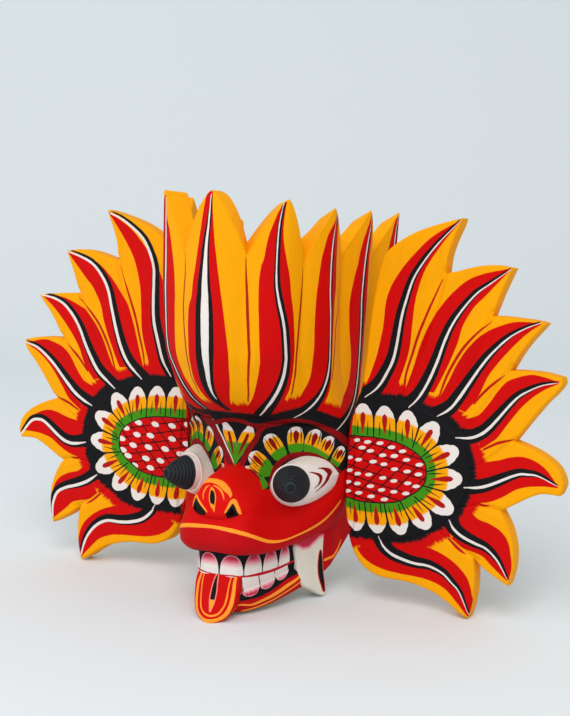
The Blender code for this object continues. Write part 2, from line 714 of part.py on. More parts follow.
def groove(side, line, group):
    """A shallow V that gets narrower from the notch to the ear."""
    points = np.array(line)
    points[0] += (points[0] - points[1]) * 0.35
    rings = []
    for n, (u, v) in enumerate(points):
        along = points[min(n + 1, len(points) - 1)] - points[max(n - 1, 0)]
        along = along / np.linalg.norm(along)
        over = np.array([-along[1], along[0]])
        scale = 1.0 - 0.5 * n / (len(points) - 1)
        left = np.array([u, v]) + over * GROOVE_HALF_WIDTH * scale
        right = np.array([u, v]) - over * GROOVE_HALF_WIDTH * scale
        section = [
            board_point(*left, 0.0006),
            board_point(u, v, -GROOVE_DEPTH * scale),
            board_point(*right, 0.0006),
        ]
        rings.append([(side * p[0], p[1], p[2]) for p in section])
    return lofted("groove_cutter", rings, group)


def wing(name, side, parts, cutters):
    outline = sawn(rounded(WING_OUTLINE, 2))
    obj = board(name, side, outline, -WING_THICKNESS, 0.0, parts)
    count = len(outline)
    weights = obj.data.attributes.new("bevel_weight_edge", "FLOAT", "EDGE")
    for edge in obj.data.edges:
        first, second = edge.vertices
        weights.data[edge.index].value = float((first < count) == (second < count))
    bevel = obj.modifiers.new("rounded_edges", "BEVEL")
    bevel.width = WING_EDGE
    bevel.segments = 1
    bevel.limit_method = "WEIGHT"
    bevel.use_clamp_overlap = False
    for line in GROOVES:
        cutter = groove(side, line, cutters)
        helper(cutter)
        boolean(obj, cutter, "DIFFERENCE")
    boss = board("ear_boss", side, rounded(EAR_OUTLINE, 2), -0.004, EAR_BOSS_HEIGHT, cutters)
    helper(boss)
    boolean(obj, boss, "UNION")
    return obj


def settle(solids, cutters):
    """Put the mask on the table with the middle of its box over the origin."""
    bpy.context.view_layer.update()
    graph = bpy.context.evaluated_depsgraph_get()
    corners = []
    for obj in solids:
        mesh = obj.evaluated_get(graph).to_mesh()
        points = np.array([vertex.co for vertex in mesh.vertices])
        corners += [points.min(axis=0), points.max(axis=0)]
    low, high = np.min(corners, axis=0), np.max(corners, axis=0)
    move = np.array([0.0, -(low[1] + high[1]) / 2, -low[2]])
    for obj in solids + list(cutters.objects):
        for vertex in obj.data.vertices:
            vertex.co = np.array(vertex.co) + move
    print("settled by", move.round(6))


def build():
    clear_scene()
    parts = collection("fire_demon_mask")
    cutters = collection("cutters")
    solids = [head(parts, cutters)]
    solids[0].data.materials.append(material("painted_head", (0.62, 0.01, 0.01), 0.5))
    for side, name in ((-1, "ear_wing_left"), (1, "ear_wing_right")):
        solids.append(wing(name, side, parts, cutters))
        solids[-1].data.materials.append(material("painted_" + name, (0.90, 0.42, 0.01), 0.5))
    settle(solids, cutters)


build()
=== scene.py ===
# %% [markdown]
# # A carved and painted fire demon mask
# The real thing is three pieces of light wood: a hollow head with its crown of flames, gouged out of
# one block, and two flat boards sawn into flames. All of its colour is brushed on by hand, so this
# lesson is mostly about paint. Each brush mark is a distance in millimetres, worked out in numpy for
# every point of a fine mesh, and the material only asks where that distance is above nothing.

import math

import bpy
import numpy as np
from mathutils import Matrix, Vector, geometry


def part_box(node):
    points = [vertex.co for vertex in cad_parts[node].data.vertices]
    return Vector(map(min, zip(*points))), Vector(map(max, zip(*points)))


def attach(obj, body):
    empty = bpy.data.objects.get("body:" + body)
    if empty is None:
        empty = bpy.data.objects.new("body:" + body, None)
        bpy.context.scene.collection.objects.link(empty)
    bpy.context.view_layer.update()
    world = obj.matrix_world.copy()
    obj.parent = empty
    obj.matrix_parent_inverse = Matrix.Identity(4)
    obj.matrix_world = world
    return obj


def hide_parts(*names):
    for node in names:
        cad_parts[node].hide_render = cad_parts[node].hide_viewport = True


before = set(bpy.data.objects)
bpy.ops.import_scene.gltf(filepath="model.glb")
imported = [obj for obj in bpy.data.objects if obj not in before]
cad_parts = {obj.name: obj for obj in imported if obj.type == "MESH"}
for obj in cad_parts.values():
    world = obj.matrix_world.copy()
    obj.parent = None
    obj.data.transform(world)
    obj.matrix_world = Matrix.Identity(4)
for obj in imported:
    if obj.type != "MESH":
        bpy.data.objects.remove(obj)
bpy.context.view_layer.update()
MM = 0.001

# %% [markdown]
# ## Where the carving stands
# The carver draws the head and the boards from the middle line and the table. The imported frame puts
# the middle of the whole box over the origin, so everything is drawn first and then moved back by
# the same small step, which the head's own box gives.

# %% The lean of the boards and of the back rim
LEAN = 0.083
RIM_Y = 48.0
RIM_TIP_Z = 237.0
BOARD_FRONT_Y = -6.5
BOARD_THICKNESS = 11.8


def rim_y(z):
    """The flat sawn back: it leans back evenly with the height."""
    return RIM_Y + LEAN * z


SETTLED_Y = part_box("head")[1].y / MM - rim_y(RIM_TIP_Z)
print("everything moves back by", round(SETTLED_Y, 3), "mm")


# %% [markdown]
# ## Curves through chosen points
# A brush line and a sawn edge are both smooth curves through a few points. The same curve serves
# both: it passes through every point, and leaves each one in the direction of its neighbours.

# %% Smooth lines
def cubic(start, leaving, end, arriving, w):
    """Hermite's cubic from start to end as w goes from 0 to 1, with the slopes it is given there."""
    curve = (2 * w**3 - 3 * w**2 + 1) * start + (w**3 - 2 * w**2 + w) * leaving
    return curve + (3 * w**2 - 2 * w**3) * end + (w**3 - w**2) * arriving


def travelled(points):
    """The way along a line of points up to each of them."""
    return np.concatenate([[0.0], np.cumsum(np.linalg.norm(np.diff(points, axis=0), axis=1))])


def smooth(points, steps=6):
    """Catmull-Rom curve: at each point its slope is half the step between the points beside it."""
    points = np.asarray(points, float)
    ends = [2 * points[0] - points[1], 2 * points[-1] - points[-2]]
    p = np.concatenate([[ends[0]], points, [ends[1]]])
    w = np.arange(steps)[None, :, None] / steps
    a, b, c, d = p[:-3, None], p[1:-2, None], p[2:-1, None], p[3:, None]
    curve = cubic(b, (c - a) / 2, c, (d - b) / 2, w)
    return np.concatenate([curve.reshape(-1, points.shape[1]), points[-1:]])


print("a line through 3 points becomes", len(smooth([(0, 0), (5, 8), (10, 0)])), "points")

# %% [markdown]
# ## A brush mark as a distance
# A loaded brush leaves a mark whose edge is sharp and whose width follows the pressure. For every
# point of a mesh, `stroke` gives how far inside the mark it lies, in millimetres, and `patch` does
# the same for a filled outline. Outside, both are negative. The mesh only has to be fine enough to
# carry these smooth numbers, and the edge between two mesh points still comes out sharp.

# %% Strokes and patches
FAR_OUTSIDE = -30.0


def close_to(at, line, reach):
    """Numbers of the points in the line's box, grown by a reach."""
    return np.flatnonzero(((at > line.min(axis=0) - reach) & (at < line.max(axis=0) + reach)).all(axis=1))


def stroke(at, line, widths, reach=8.0):
    """Half the width there less the distance to the line, the largest over the line's pieces."""
    line = np.asarray(line, float)
    inside = np.full(len(at), FAR_OUTSIDE)
    near = close_to(at, line, reach)
    spot = at[near]
    step = np.diff(line, axis=0)
    along = travelled(line)
    along /= along[-1]
    knots = np.linspace(0.0, 1.0, len(widths))
    best = np.full(len(near), FAR_OUTSIDE)
    for n, (start, move) in enumerate(zip(line, step)):
        share = np.clip((spot - start) @ move / (move @ move), 0.0, 1.0)
        gap = np.linalg.norm(spot - start - share[:, None] * move, axis=1)
        here = along[n] + (along[n + 1] - along[n]) * share
        best = np.maximum(best, np.interp(here, knots, widths) - gap)
    inside[near] = best
    return inside


def patch(at, outline, reach=12.0):
    """Distance to the closed outline, positive inside it by the rule of odd crossings."""
    outline = np.asarray(outline, float)
    inside = np.full(len(at), FAR_OUTSIDE)
    near = close_to(at, outline, reach)
    spot = at[near]
    gap = np.full(len(near), -FAR_OUTSIDE)
    odd = np.zeros(len(near), bool)
    for start, end in zip(outline, np.roll(outline, -1, axis=0)):
        move = end - start
        share = np.clip((spot - start) @ move / max(move @ move, 1e-9), 0.0, 1.0)
        gap = np.minimum(gap, np.linalg.norm(spot - start - share[:, None] * move, axis=1))
        crosses = (start[1] > spot[:, 1]) != (end[1] > spot[:, 1])
        rise = move[1] if abs(move[1]) > 1e-9 else 1e-9
        odd ^= crosses & (spot[:, 0] < start[0] + (spot[:, 1] - start[1]) * move[0] / rise)
    inside[near] = np.where(odd, gap, -gap)
    return inside


SQUARE = [(0, 0), (0, 10), (10, 10), (10, 0)]
print("the middle of a 10 mm square is", patch(np.array([(5.0, 5.0)]), SQUARE)[0], "mm inside it")

# %% [markdown]
# ## A thin brush line
# A line thinner than the mesh needs two numbers: how far across it a point lies, on which side, and
# how wide the line is there. Both change evenly from point to point, so the line stays clean.

# %% Thin lines
LINE_REACH = 2.2


def brush_lines(at, lines):
    """Signed distance across the nearest line and the half width there, which falls past the ends."""
    nearest = np.full(len(at), -FAR_OUTSIDE)
    across, half = np.full(len(at), -FAR_OUTSIDE), np.full(len(at), FAR_OUTSIDE)
    for points, widths in lines:
        line = smooth(points)
        near = close_to(at, line, max(widths) + LINE_REACH)
        step = np.diff(line, axis=0)
        length = np.linalg.norm(step, axis=1)
        along = travelled(line)
        knots = np.linspace(0.0, along[-1], len(widths))
        for n, (start, move) in enumerate(zip(line, step)):
            offset = at[near] - start
            share = offset @ move / length[n] ** 2
            gap = np.linalg.norm(offset - np.clip(share, 0.0, 1.0)[:, None] * move, axis=1)
            here = along[n] + np.clip(share, 0.0, 1.0) * length[n]
            width = np.interp(here, knots, widths)
            closer = (gap < nearest[near]) & (gap < width + LINE_REACH)
            past = np.zeros(len(near))
            past += np.maximum(-share, 0.0) * length[n] * (n == 0)
            past += np.maximum(share - 1.0, 0.0) * length[n] * (n == len(step) - 1)
            side = (move[0] * offset[:, 1] - move[1] * offset[:, 0]) / length[n]
            ahead = (share < 0.0) | (share > 1.0)
            signed = np.where(ahead & (past == 0.0), np.copysign(gap, side), side)
            chosen = near[closer]
            nearest[chosen] = gap[closer]
            across[chosen], half[chosen] = signed[closer], (width - past)[closer]
    return across, half


def line_fields(name, at, lines, kept=True):
    """The two fields of one kind of thin line, wiped out where it isn't kept."""
    across, half = brush_lines(at, lines)
    return {name + "_across": across, name + "_half": np.where(kept, half, FAR_OUTSIDE)}


def beside(line, shift):
    """The line moved to its left by a distance, or by one for each of its points."""
    line = np.asarray(line, float)
    along = np.gradient(line, axis=0)
    along /= np.linalg.norm(along, axis=1, keepdims=True)
    return line + np.stack([-along[:, 1], along[:, 0]], axis=1) * np.reshape(shift, (-1, 1))


def between(first, second):
    """A closed outline: along one line and back along the other, both smoothed."""
    return np.concatenate([smooth(first, 4), smooth(second, 4)[::-1]])


def most_inside(parts):
    """The largest of several fields at each point."""
    return np.max(list(parts), axis=0)


print("a line's numbers reach", LINE_REACH, "mm past its edge")

# %% [markdown]
# ## The boards' outline
# Each ear wing is one board with seven flames. The outline is drawn once, on the right: out from the
# middle of the mask, and up along the leaning board. Its tips and notches stay sharp, and everything
# between them is drawn round.

# %% The sawn outline
WING_OUTLINE = (
    (121.6, 236.8), (120.3, 233), (118.3, 228.5), (114, 215.9), (112.8, 203.9), (122, 206),
    (131.9, 208.8), (144.2, 210.2), (153.2, 208.9), (150, 201.5), (146.7, 193.4), (142.3, 180.6),
    (151, 180.6), (160.1, 180), (170.2, 179.1), (174.3, 178.3), (170.5, 173.8), (166.4, 169),
    (159.2, 158.2), (154.8, 149.7), (167.2, 149.9), (175, 149.5), (185.6, 147.5), (186, 145),
    (177.1, 133.7), (168, 121.7), (158.9, 108.9), (174, 103.5), (185.8, 95.4), (189.5, 86.5),
    (187.9, 81.2), (177.1, 81.1), (165.2, 75.3), (153, 67.8), (158.5, 58.2), (162, 46.6), (162, 33.6),
    (160, 25.1), (149.2, 30.9), (138.3, 38.5), (139.5, 25.1), (138.7, 12.1), (136.3, 1.1), (127.2, 7.8),
    (115.9, 14.3), (98.2, 18.6), (80.4, 19.7), (70.1, 24), (61.4, 35.7), (57.5, 48.9), (55.6, 65.7),
    (55.5, 83), (55.5, 96.4), (57, 112), (63.6, 131), (66.4, 152), (68.1, 173.1), (71.4, 198.1),
    (76, 214.8), (81, 219.9), (94.4, 228.1), (108.1, 233),
)
EAR_OUTLINE = (
    (60, 129), (70, 130.2), (83, 129), (95, 126.2), (108, 121.5), (121, 113), (130, 103), (134.5, 91),
    (133, 78), (127, 65), (116, 54), (102, 47), (88, 43), (74, 41.5), (62.5, 42),
)
SHARP_CORNER = 50.0
SAW_MARGIN, SAW_MARGIN_START, SAW_MARGIN_FADE = 0.9, 56.0, 8.0
SHARPEST_MARGIN = 1.6
LOWEST_ON_BOARD = 1.0


def turning(points):
    """The angle through which the closed outline turns at each of its points, in degrees."""
    before = points - np.roll(points, 1, axis=0)
    after = np.roll(points, -1, axis=0) - points
    cosine = (before * after).sum(axis=1)
    cosine /= np.linalg.norm(before, axis=1) * np.linalg.norm(after, axis=1)
    return np.degrees(np.arccos(np.clip(cosine, -1.0, 1.0)))


def rounded(outline, steps):
    """Hermite curve round the outline: soft corners share one direction, sharp ones keep both."""
    b = np.asarray(outline, float)
    a, c, d = (np.roll(b, k, axis=0) for k in (1, -1, -2))
    soft = turning(b) < SHARP_CORNER
    before = np.where(soft[:, None], b - a, c - b)
    after = np.where(np.roll(soft, -1)[:, None], d - c, c - b)
    length = np.linalg.norm(c - b, axis=1, keepdims=True)
    start = (before / np.linalg.norm(before, axis=1, keepdims=True) + (c - b) / length) * 0.5 * length
    end = (after / np.linalg.norm(after, axis=1, keepdims=True) + (c - b) / length) * 0.5 * length
    w = (np.arange(steps) / steps)[None, :, None]
    return cubic(b[:, None], start[:, None], c[:, None], end[:, None], w).reshape(-1, 2)


def outward(points):
    """Direction out of a clockwise outline at each point, lengthened at corners by the mitre."""
    along = np.roll(points, -1, axis=0) - points
    along /= np.linalg.norm(along, axis=1, keepdims=True)
    after = np.stack([-along[:, 1], along[:, 0]], axis=1)
    both = after + np.roll(after, 1, axis=0)
    mitre = both / np.maximum((both**2).sum(axis=1, keepdims=True) / 2, 1e-6)
    length = np.linalg.norm(mitre, axis=1, keepdims=True)
    return mitre * np.minimum(length, SHARPEST_MARGIN) / length


def sawn(points):
    """The outline with the wood that the saw left outside the drawn line, none beside the head."""
    share = np.clip((points[:, :1] - SAW_MARGIN_START) / SAW_MARGIN_FADE, 0.0, 1.0)
    points = points + outward(points) * share * SAW_MARGIN
    points[:, 1] = np.maximum(points[:, 1], LOWEST_ON_BOARD)
    return points


def evenly(points, spacing):
    """The closed outline with a point about every spacing, its sharp corners kept."""
    corners = np.flatnonzero(turning(points) > SHARP_CORNER * 0.6)
    pieces = []
    for first, last in zip(corners, np.roll(corners, -1)):
        span = np.arange(first, last + (len(points) if last <= first else 0) + 1) % len(points)
        run = points[span]
        travel = travelled(run)
        count = max(1, round(travel[-1] / spacing))
        stops = np.linspace(0.0, travel[-1], count + 1)[:-1]
        pieces.append(np.stack([np.interp(stops, travel, run[:, k]) for k in (0, 1)], axis=1))
    return np.concatenate(pieces)


BOARD_SPACING = 0.66
board_edge = evenly(rounded(sawn(rounded(WING_OUTLINE, 2)), 5), BOARD_SPACING)
board_edge[:, 1] = np.maximum(board_edge[:, 1], LOWEST_ON_BOARD)
print("one wing's edge:", len(board_edge), "points")

# %% [markdown]
# ## The wing as a solid board
# The front is a height over the board's plane: flat, rounded down towards its edge, raised inside
# the ear, with a shallow V cut in from every notch. The grid of points is as fine as the paint
# needs. A constrained triangulation joins it to the sawn edge, because rows and columns alone could
# not follow seven sharp flames.

# %% The relief of the board
EDGE_ROUND = 1.3
EAR_HEIGHT, EAR_EDGE = 1.2, 0.9
GROOVE_DEPTH, GROOVE_HALF_WIDTH = 1.4, 2.6
GROOVES = (
    ((113.9, 207), (112.8, 203.9), (108.5, 185), (101, 162), (93, 140), (88, 130)),
    ((143.6, 184), (142.3, 180.6), (136, 164), (125, 144), (115, 129)),
    ((157, 153), (154.8, 149.7), (147, 137), (138, 124), (128, 112)),
    ((162, 111), (158.9, 108.9), (150, 101), (142, 95), (134, 90)),
    ((156, 67.5), (153, 67.8), (146, 69), (138, 69), (129, 67)),
    ((141, 37), (138.3, 38.5), (132, 42), (123, 47), (115, 52)),
)


def board_relief(at, inside):
    """Height of the front: the ear's step, less the V grooves, less a quarter round at the edge."""
    ear = np.clip(patch(at, rounded(EAR_OUTLINE, 4)) / EAR_EDGE + 0.5, 0.0, 1.0)
    height = EAR_HEIGHT * ear**2 * (3 - 2 * ear)
    for line in GROOVES:
        width = GROOVE_HALF_WIDTH * np.array([1.0, 1.0, 0.75, 0.5])
        depth = np.maximum(stroke(at, smooth(line), width), 0.0)
        height -= GROOVE_DEPTH / GROOVE_HALF_WIDTH * depth
    short = np.clip(EDGE_ROUND - inside, 0.0, EDGE_ROUND)
    return height - (EDGE_ROUND - np.sqrt(EDGE_ROUND**2 - short**2))


def board_point(at, out, side):
    """Place in the frame, in metres, of a point of the leaning board that stands out from it."""
    lean = math.atan(LEAN)
    x = side * at[:, 0]
    y = BOARD_FRONT_Y + SETTLED_Y + math.sin(lean) * at[:, 1] - math.cos(lean) * out
    z = math.cos(lean) * at[:, 1] + math.sin(lean) * out
    return np.stack([x, y, z], axis=1) * MM


def triangulated(points, edge_count):
    """Triangles between all the points, inside the loop that the first ones make."""
    loop = [(n, (n + 1) % edge_count) for n in range(edge_count)]
    made = geometry.delaunay_2d_cdt([Vector(p) for p in points], loop, [], 1, 1e-7)
    return np.array(made[0]), np.array(made[2])


def board_front():
    """Points and triangles of one wing's front, with how far each point is from the edge."""
    low, high = board_edge.min(axis=0), board_edge.max(axis=0)
    columns = np.arange(low[0], high[0], BOARD_SPACING)
    rows = np.arange(low[1], high[1], BOARD_SPACING)
    grid = np.stack(np.meshgrid(columns, rows), axis=-1)
    grid[1::2, :, 0] += BOARD_SPACING / 2
    grid = grid.reshape(-1, 2)
    grid = grid[patch(grid, board_edge) > EDGE_ROUND + 0.3]
    rings = [board_edge]
    for inset in (0.3, 0.8, 1.35):
        ring = board_edge - outward(board_edge) * inset
        rings.append(ring[patch(ring, board_edge) > 0.93 * inset])
    points, faces = triangulated(np.concatenate(rings + [grid]), len(board_edge))
    inside = patch(points, board_edge)
    inside[: len(board_edge)] = 0.0
    return points, faces, np.maximum(inside, 0.0)


front_points, front_faces, front_inside = board_front()
front_height = board_relief(front_points, front_inside)
print("one wing's front:", len(front_points), "points,", len(front_faces), "triangles")


# %% Both wings, made from arrays
def mesh_object(name, points, faces, slots=None):
    """One object at the origin from arrays of points, of triangles or quads, and of slot numbers."""
    mesh = bpy.data.meshes.new(name)
    mesh.vertices.add(len(points))
    mesh.vertices.foreach_set("co", np.asarray(points, np.float32).ravel())
    mesh.loops.add(faces.size)
    mesh.loops.foreach_set("vertex_index", faces.astype(np.int32).ravel())
    mesh.polygons.add(len(faces))
    mesh.polygons.foreach_set("loop_start", np.arange(0, faces.size, faces.shape[1], dtype=np.int32))
    if slots is not None:
        mesh.polygons.foreach_set("material_index", np.asarray(slots, np.int32))
    mesh.update(calc_edges=True)
    mesh.validate()
    made = bpy.data.objects.new(name, mesh)
    bpy.context.scene.collection.objects.link(made)
    return made


def keep(obj, fields, corners=False):
    """Stores each named array of numbers or of 3-D vectors on the points, or spread to the corners."""
    mesh = obj.data
    at = np.empty(len(mesh.loops), np.int32)
    mesh.loops.foreach_get("vertex_index", at)
    for name, values in fields.items():
        values = np.asarray(values, np.float32)
        kind, word = ("FLOAT_VECTOR", "vector") if values.ndim == 2 else ("FLOAT", "value")
        attribute = mesh.attributes.new(name, kind, "CORNER" if corners else "POINT")
        attribute.data.foreach_set(word, (values[at] if corners else values).ravel())


WALL_ROWS = (0, 0.5, 1)


def wing(name, side):
    """Front, edge and back of one board, closed and facing out."""
    count = len(board_edge)
    total = len(front_points)
    points = [board_point(front_points, front_height, side)]
    edge_out = front_height[:count]
    for share in WALL_ROWS[1:]:
        out = edge_out + (-BOARD_THICKNESS - edge_out) * share
        points.append(board_point(board_edge, out, side))
    _, back = triangulated(board_edge, count)
    starts = [0] + [total + count * k for k in range(len(WALL_ROWS) - 1)]
    ring = np.arange(count)
    after = np.roll(ring, -1)
    walls = [
        np.stack([a + ring, a + after, b + after, b + ring], axis=1) for a, b in zip(starts, starts[1:])
    ]
    quads = np.concatenate(walls)
    triangles = np.concatenate([quads[:, [0, 1, 2]], quads[:, [0, 2, 3]]])
    triangles = np.concatenate([front_faces, triangles, back[:, ::-1] + starts[-1]])
    slots = np.repeat([0, 1], [len(triangles) - len(back), len(back)])
    if side < 0:
        triangles = triangles[:, ::-1]
    return mesh_object(name, np.concatenate(points), triangles, slots)


SIDES = {"ear_wing_left": -1, "ear_wing_right": 1}
wings = {name: wing("carved_" + name, side) for name, side in SIDES.items()}
for made in wings.values():
    print(made.name, len(made.data.vertices), "points")

# %% [markdown]
# ## What the brush drew on a wing
# On a yellow ground each flame has a red leaf, a black band in it and a white line down its middle,
# and a thin dark line runs in from every notch. Near the ear the red and the black are dragged out
# with a nearly dry brush.

# %% The flames' strokes
FLAMES = (
    (((66.5, 128), (74, 134.5), (79, 142.5), (84, 154.5), (87.5, 177.5), (90, 188), (94, 201),
      (100.5, 212), (109, 223), (122, 236.5)),
     ((64.5, 131), (69, 142.5), (73, 155.5), (76, 172), (77, 185.5), (80, 196), (87, 207.5),
      (95.5, 217.5), (105.5, 227), (121.5, 236.5)),
     ((86, 133.5), (93, 156.5), (94.5, 173), (96, 189), (100.5, 205), (107, 216.5), (115, 227.5),
      (122, 236))),
    (((95, 124), (101, 131), (106.5, 141), (111.5, 153.5), (115, 164.5), (119.5, 175), (125.5, 184.5),
      (133.5, 194), (142, 200.5), (153.5, 209)),
     ((92, 135.5), (96, 148), (100.5, 163.5), (105.5, 175.5), (111.5, 185), (118.5, 193.5),
      (127.5, 201.5), (138, 206), (153, 209.5)),
     ((110, 134), (114.5, 143), (120, 155.5), (123.5, 165), (126, 174.5), (132, 185.5), (139, 193),
      (153.5, 209))),
    (((112.5, 120), (119.5, 124.5), (125, 131), (138.5, 152), (146.5, 162), (155, 170), (164, 175.5),
      (172.5, 179)),
     ((113, 130.5), (118, 140), (124, 153), (131, 163.5), (139.5, 171.5), (150, 176.5), (159, 179),
      (172.5, 179)),
     ((130, 124), (137.5, 134), (142.5, 145.5), (149, 155), (157, 164.5), (165, 172.5), (173, 178.5))),
    (((125, 108.5), (133, 109), (139.5, 111.5), (146, 117), (159.5, 133.5), (167.5, 139.5), (176, 143.5),
      (185, 145.5)),
     ((130, 120), (138, 123), (144.5, 131), (149, 138), (154.5, 144), (162.5, 147.5), (171, 149),
      (185, 146)),
     ((141, 103.5), (149.5, 110), (154.5, 117), (162, 127.5), (169, 135), (177, 141), (185, 145))),
    (((131.5, 79.5), (139, 80), (147, 82.5), (162.5, 90), (169.5, 91), (176, 90.5), (187, 86)),
     ((136.5, 94), (151, 97.5), (158.5, 100), (166, 101), (173.5, 99), (180.5, 94.5), (187.5, 85.5)),
     ((138.5, 70.5), (147.5, 72.5), (155.5, 76.5), (163, 81.5), (171, 84), (179.5, 85), (187, 85))),
    (((123, 59), (126, 54), (131.5, 50), (139, 47), (145.5, 45), (150.5, 41.5), (155, 36.5),
      (160.5, 27.5)),
     ((136, 65.5), (141, 61.5), (148, 59.5), (155, 56), (159.5, 50.5), (161.5, 43), (162.5, 35.5),
      (161, 28)),
     ((125, 48), (132, 43), (139, 41.5), (145, 39.5), (150, 35), (160, 27))),
    (((79, 44), (81.5, 38.5), (87, 34), (94.5, 31.5), (102.5, 30), (111.5, 29.5), (120, 26.5),
      (126, 21.5), (131.5, 16), (138, 3)),
     ((104.5, 42), (112, 40.5), (119.5, 38), (125.5, 35), (131.5, 30.5), (136.5, 24.5), (139, 17),
      (140, 8.5), (138.5, 2)),
     ((64.5, 35), (68.5, 30), (75, 26), (83.5, 23.5), (92.5, 22.5), (104, 22), (114, 20.5), (122.5, 17),
      (128.5, 11.5), (138, 1.5))),
)
LEFT_WHITES = (
    ((70.4, 130.6), (77, 140.6), (81.3, 153.7), (84.6, 166), (85.5, 178.5), (85.5, 191.8), (85.9, 201),
     (88.9, 210), (94.1, 219), (101.1, 225.4), (111.2, 231.9), (120.5, 235.5)),
    ((92.6, 127.3), (103.3, 137.1), (109.5, 147.7), (113.9, 160.2), (117.3, 172.7), (120.7, 185.3),
     (126, 194.4), (133.2, 201.7), (142.5, 206.1), (152.8, 209)),
    ((113.2, 119.4), (126, 129.6), (132.4, 138.6), (137.8, 148.5), (142.1, 157.7), (147.5, 166),
     (154.9, 173.4), (163.3, 177.3), (173.5, 179)),
    ((130.9, 106.6), (137.7, 109.8), (145, 114.5), (152.4, 121.8), (162.1, 132.2), (169.6, 138.7),
     (177.2, 143.5), (186, 146)),
    ((135.3, 81.5), (142, 80.1), (148.2, 79.9), (155.5, 82.7), (168.4, 92.1), (173.7, 93.8), (179, 92.9),
     (183.2, 89), (188.2, 82.4)),
    ((125.5, 60.4), (133, 55.3), (141.2, 51.8), (150.4, 49), (157.6, 44.7), (160.9, 36), (160.5, 27.5)),
    ((79, 45.5), (82.5, 40), (89, 34.5), (97.9, 31.5), (106.9, 30.4), (117, 30.1), (125, 26.1),
     (131, 19.7), (134.4, 13.1), (137, 4)),
)
NOTCH_LINES = (
    ((112, 201.5), (100, 171.5), (95.5, 156.5), (92, 144), (91, 134.5)),
    ((143.5, 178.5), (135.5, 171.5), (127.5, 162.5), (122, 153.5), (117, 143), (113, 130.5)),
    ((152.5, 147.5), (144, 140), (138.5, 134), (135, 129.5)),
    ((160, 110.5), (150.5, 107.5), (142, 103)),
    ((147.5, 70), (142.5, 70), (137.5, 71.5)),
    ((134, 39.5), (129, 42.5), (123, 47.5)),
)
WHITE_WIDTHS = {
    1: (0.25, 0.75, 0.85, 0.8, 0.72, 0.65, 0.55, 0.42, 0.3, 0.12),
    -1: (0.3, 0.9, 1.05, 1.05, 1, 0.95, 0.95, 0.85, 0.75, 0.4),
}
BAND_WIDTHS = {1: (5.4, 4.4, 3.9, 3.4, 2.8, 2.1, 1.2, 0.3), -1: (4.6, 4.2, 3.8, 3.3, 2.7, 2, 1.2, 0.3)}
BAND_SHIFT = {1: 0.8, -1: 1.5}
NOTCH_WIDTHS = (0.2, 0.75, 0.9, 0.8, 0.6)
print("flames of a wing:", len(FLAMES), "and notches:", len(NOTCH_LINES))

# %% [markdown]
# ## The ears
# An ear is a red oval with rows of white dots over dark crossed lines, and a ring of pointed petals
# round it on black. Each petal goes from green through yellow to white, with a red drop on its axis
# and a fine black line on either side.

# %% The ears' strokes
EAR_GROUND = (
    (60.5, 129.5), (78.5, 130), (95, 129.5), (107.5, 125), (115.5, 124), (124.5, 117), (130.5, 110),
    (133, 104), (136.5, 94), (137, 86.5), (134.5, 78.5), (134, 73), (131, 67), (128.5, 61), (122.5, 56.5),
    (112.5, 51), (105, 45.5), (92, 42), (74, 42.5), (60.5, 42),
)
EAR_OVAL = (
    (57.5, 103.5), (75.5, 103.5), (88, 102), (96.5, 99), (102.5, 95.5), (106.5, 91), (107.5, 86.5),
    (107, 80.5), (103.5, 75.5), (97.5, 71), (90.5, 67), (80.5, 65), (67, 64.5), (55, 66),
)
PETAL_TIPS = (
    (65.5, 123), (79.5, 122.5), (94.5, 121), (112.5, 115.5), (126.5, 101.5), (129.5, 84.5), (125, 64.5),
    (110.5, 53.5), (94, 48), (78.5, 47), (64.5, 47),
)
PETAL_BASES = (
    (66, 104), (80.5, 104.5), (95, 102.5), (102.5, 99.5), (107, 91), (108.5, 82), (105.5, 73.5), (98, 67),
    (87.5, 65), (76, 64.5), (62, 64),
)
PETAL_WIDTHS = (7, 7.2, 7.2, 7.2, 6.8, 5.9, 4.2, 0.5)
GREEN_REACH, YELLOW_REACH = 6.5, 14.2
DROP_FROM, DROP_TO, DROP_WIDTHS = 0.1, 0.72, (0.2, 0.8, 1.3, 1.7, 1.5)
PETAL_LINE_SIDE, PETAL_LINE_WIDTHS, GAP_WIDTHS = 3.3, (0.3, 0.35, 0.1), (0.4, 0.45, 0.55, 0.9, 1.6)
DOTS = {
    1: ((62.2, 101.4), (69.4, 100.9), (77.5, 100.9), (65.9, 97.1), (71.5, 95.6), (85.1, 99.1),
     (92.3, 97.4), (57.4, 90.1), (64.1, 89.5), (79.6, 93.7), (87.1, 94), (73.6, 89.2), (95.1, 92.4),
     (80.7, 88.3), (57.7, 82.2), (87.7, 86), (63.7, 80.8), (71.1, 81), (95.7, 85.4), (103.1, 84.4),
     (80.2, 79.9), (57, 74.9), (87.5, 78.8), (63.7, 74.7), (96.3, 78.3), (72.5, 74), (101.9, 77),
     (79.8, 72.5), (56.8, 69.2), (87.8, 72.2), (65, 69.1), (95.5, 72), (73.1, 67.8), (81.8, 66.9),
     (103.4, 90.3)),
    -1: ((93.6, 98.6), (80.6, 98.5), (67.9, 98.6), (56.9, 100.2), (103.1, 94.2), (94.4, 90.5),
     (84.1, 90.8), (67.6, 90), (106.1, 86.8), (97.1, 83.2), (85.3, 83), (72.6, 82.9), (104.9, 79.4),
     (100.8, 75.8), (87, 75.3), (75.9, 74.9), (95.7, 69.9), (83.4, 69.4), (57.4, 87.6), (61.1, 80.7),
     (64, 73)),
}
DOT_SIZE = {1: (2.4, 1.1), -1: (2.9, 1.7)}
DOT_TILT = 0.14
EAR_MIDDLE = np.array((81.0, 84.0))
EAR_STREAK_RADIUS = 70.0
print("petals round an ear:", len(PETAL_TIPS), "and dots:", [len(DOTS[side]) for side in (-1, 1)])


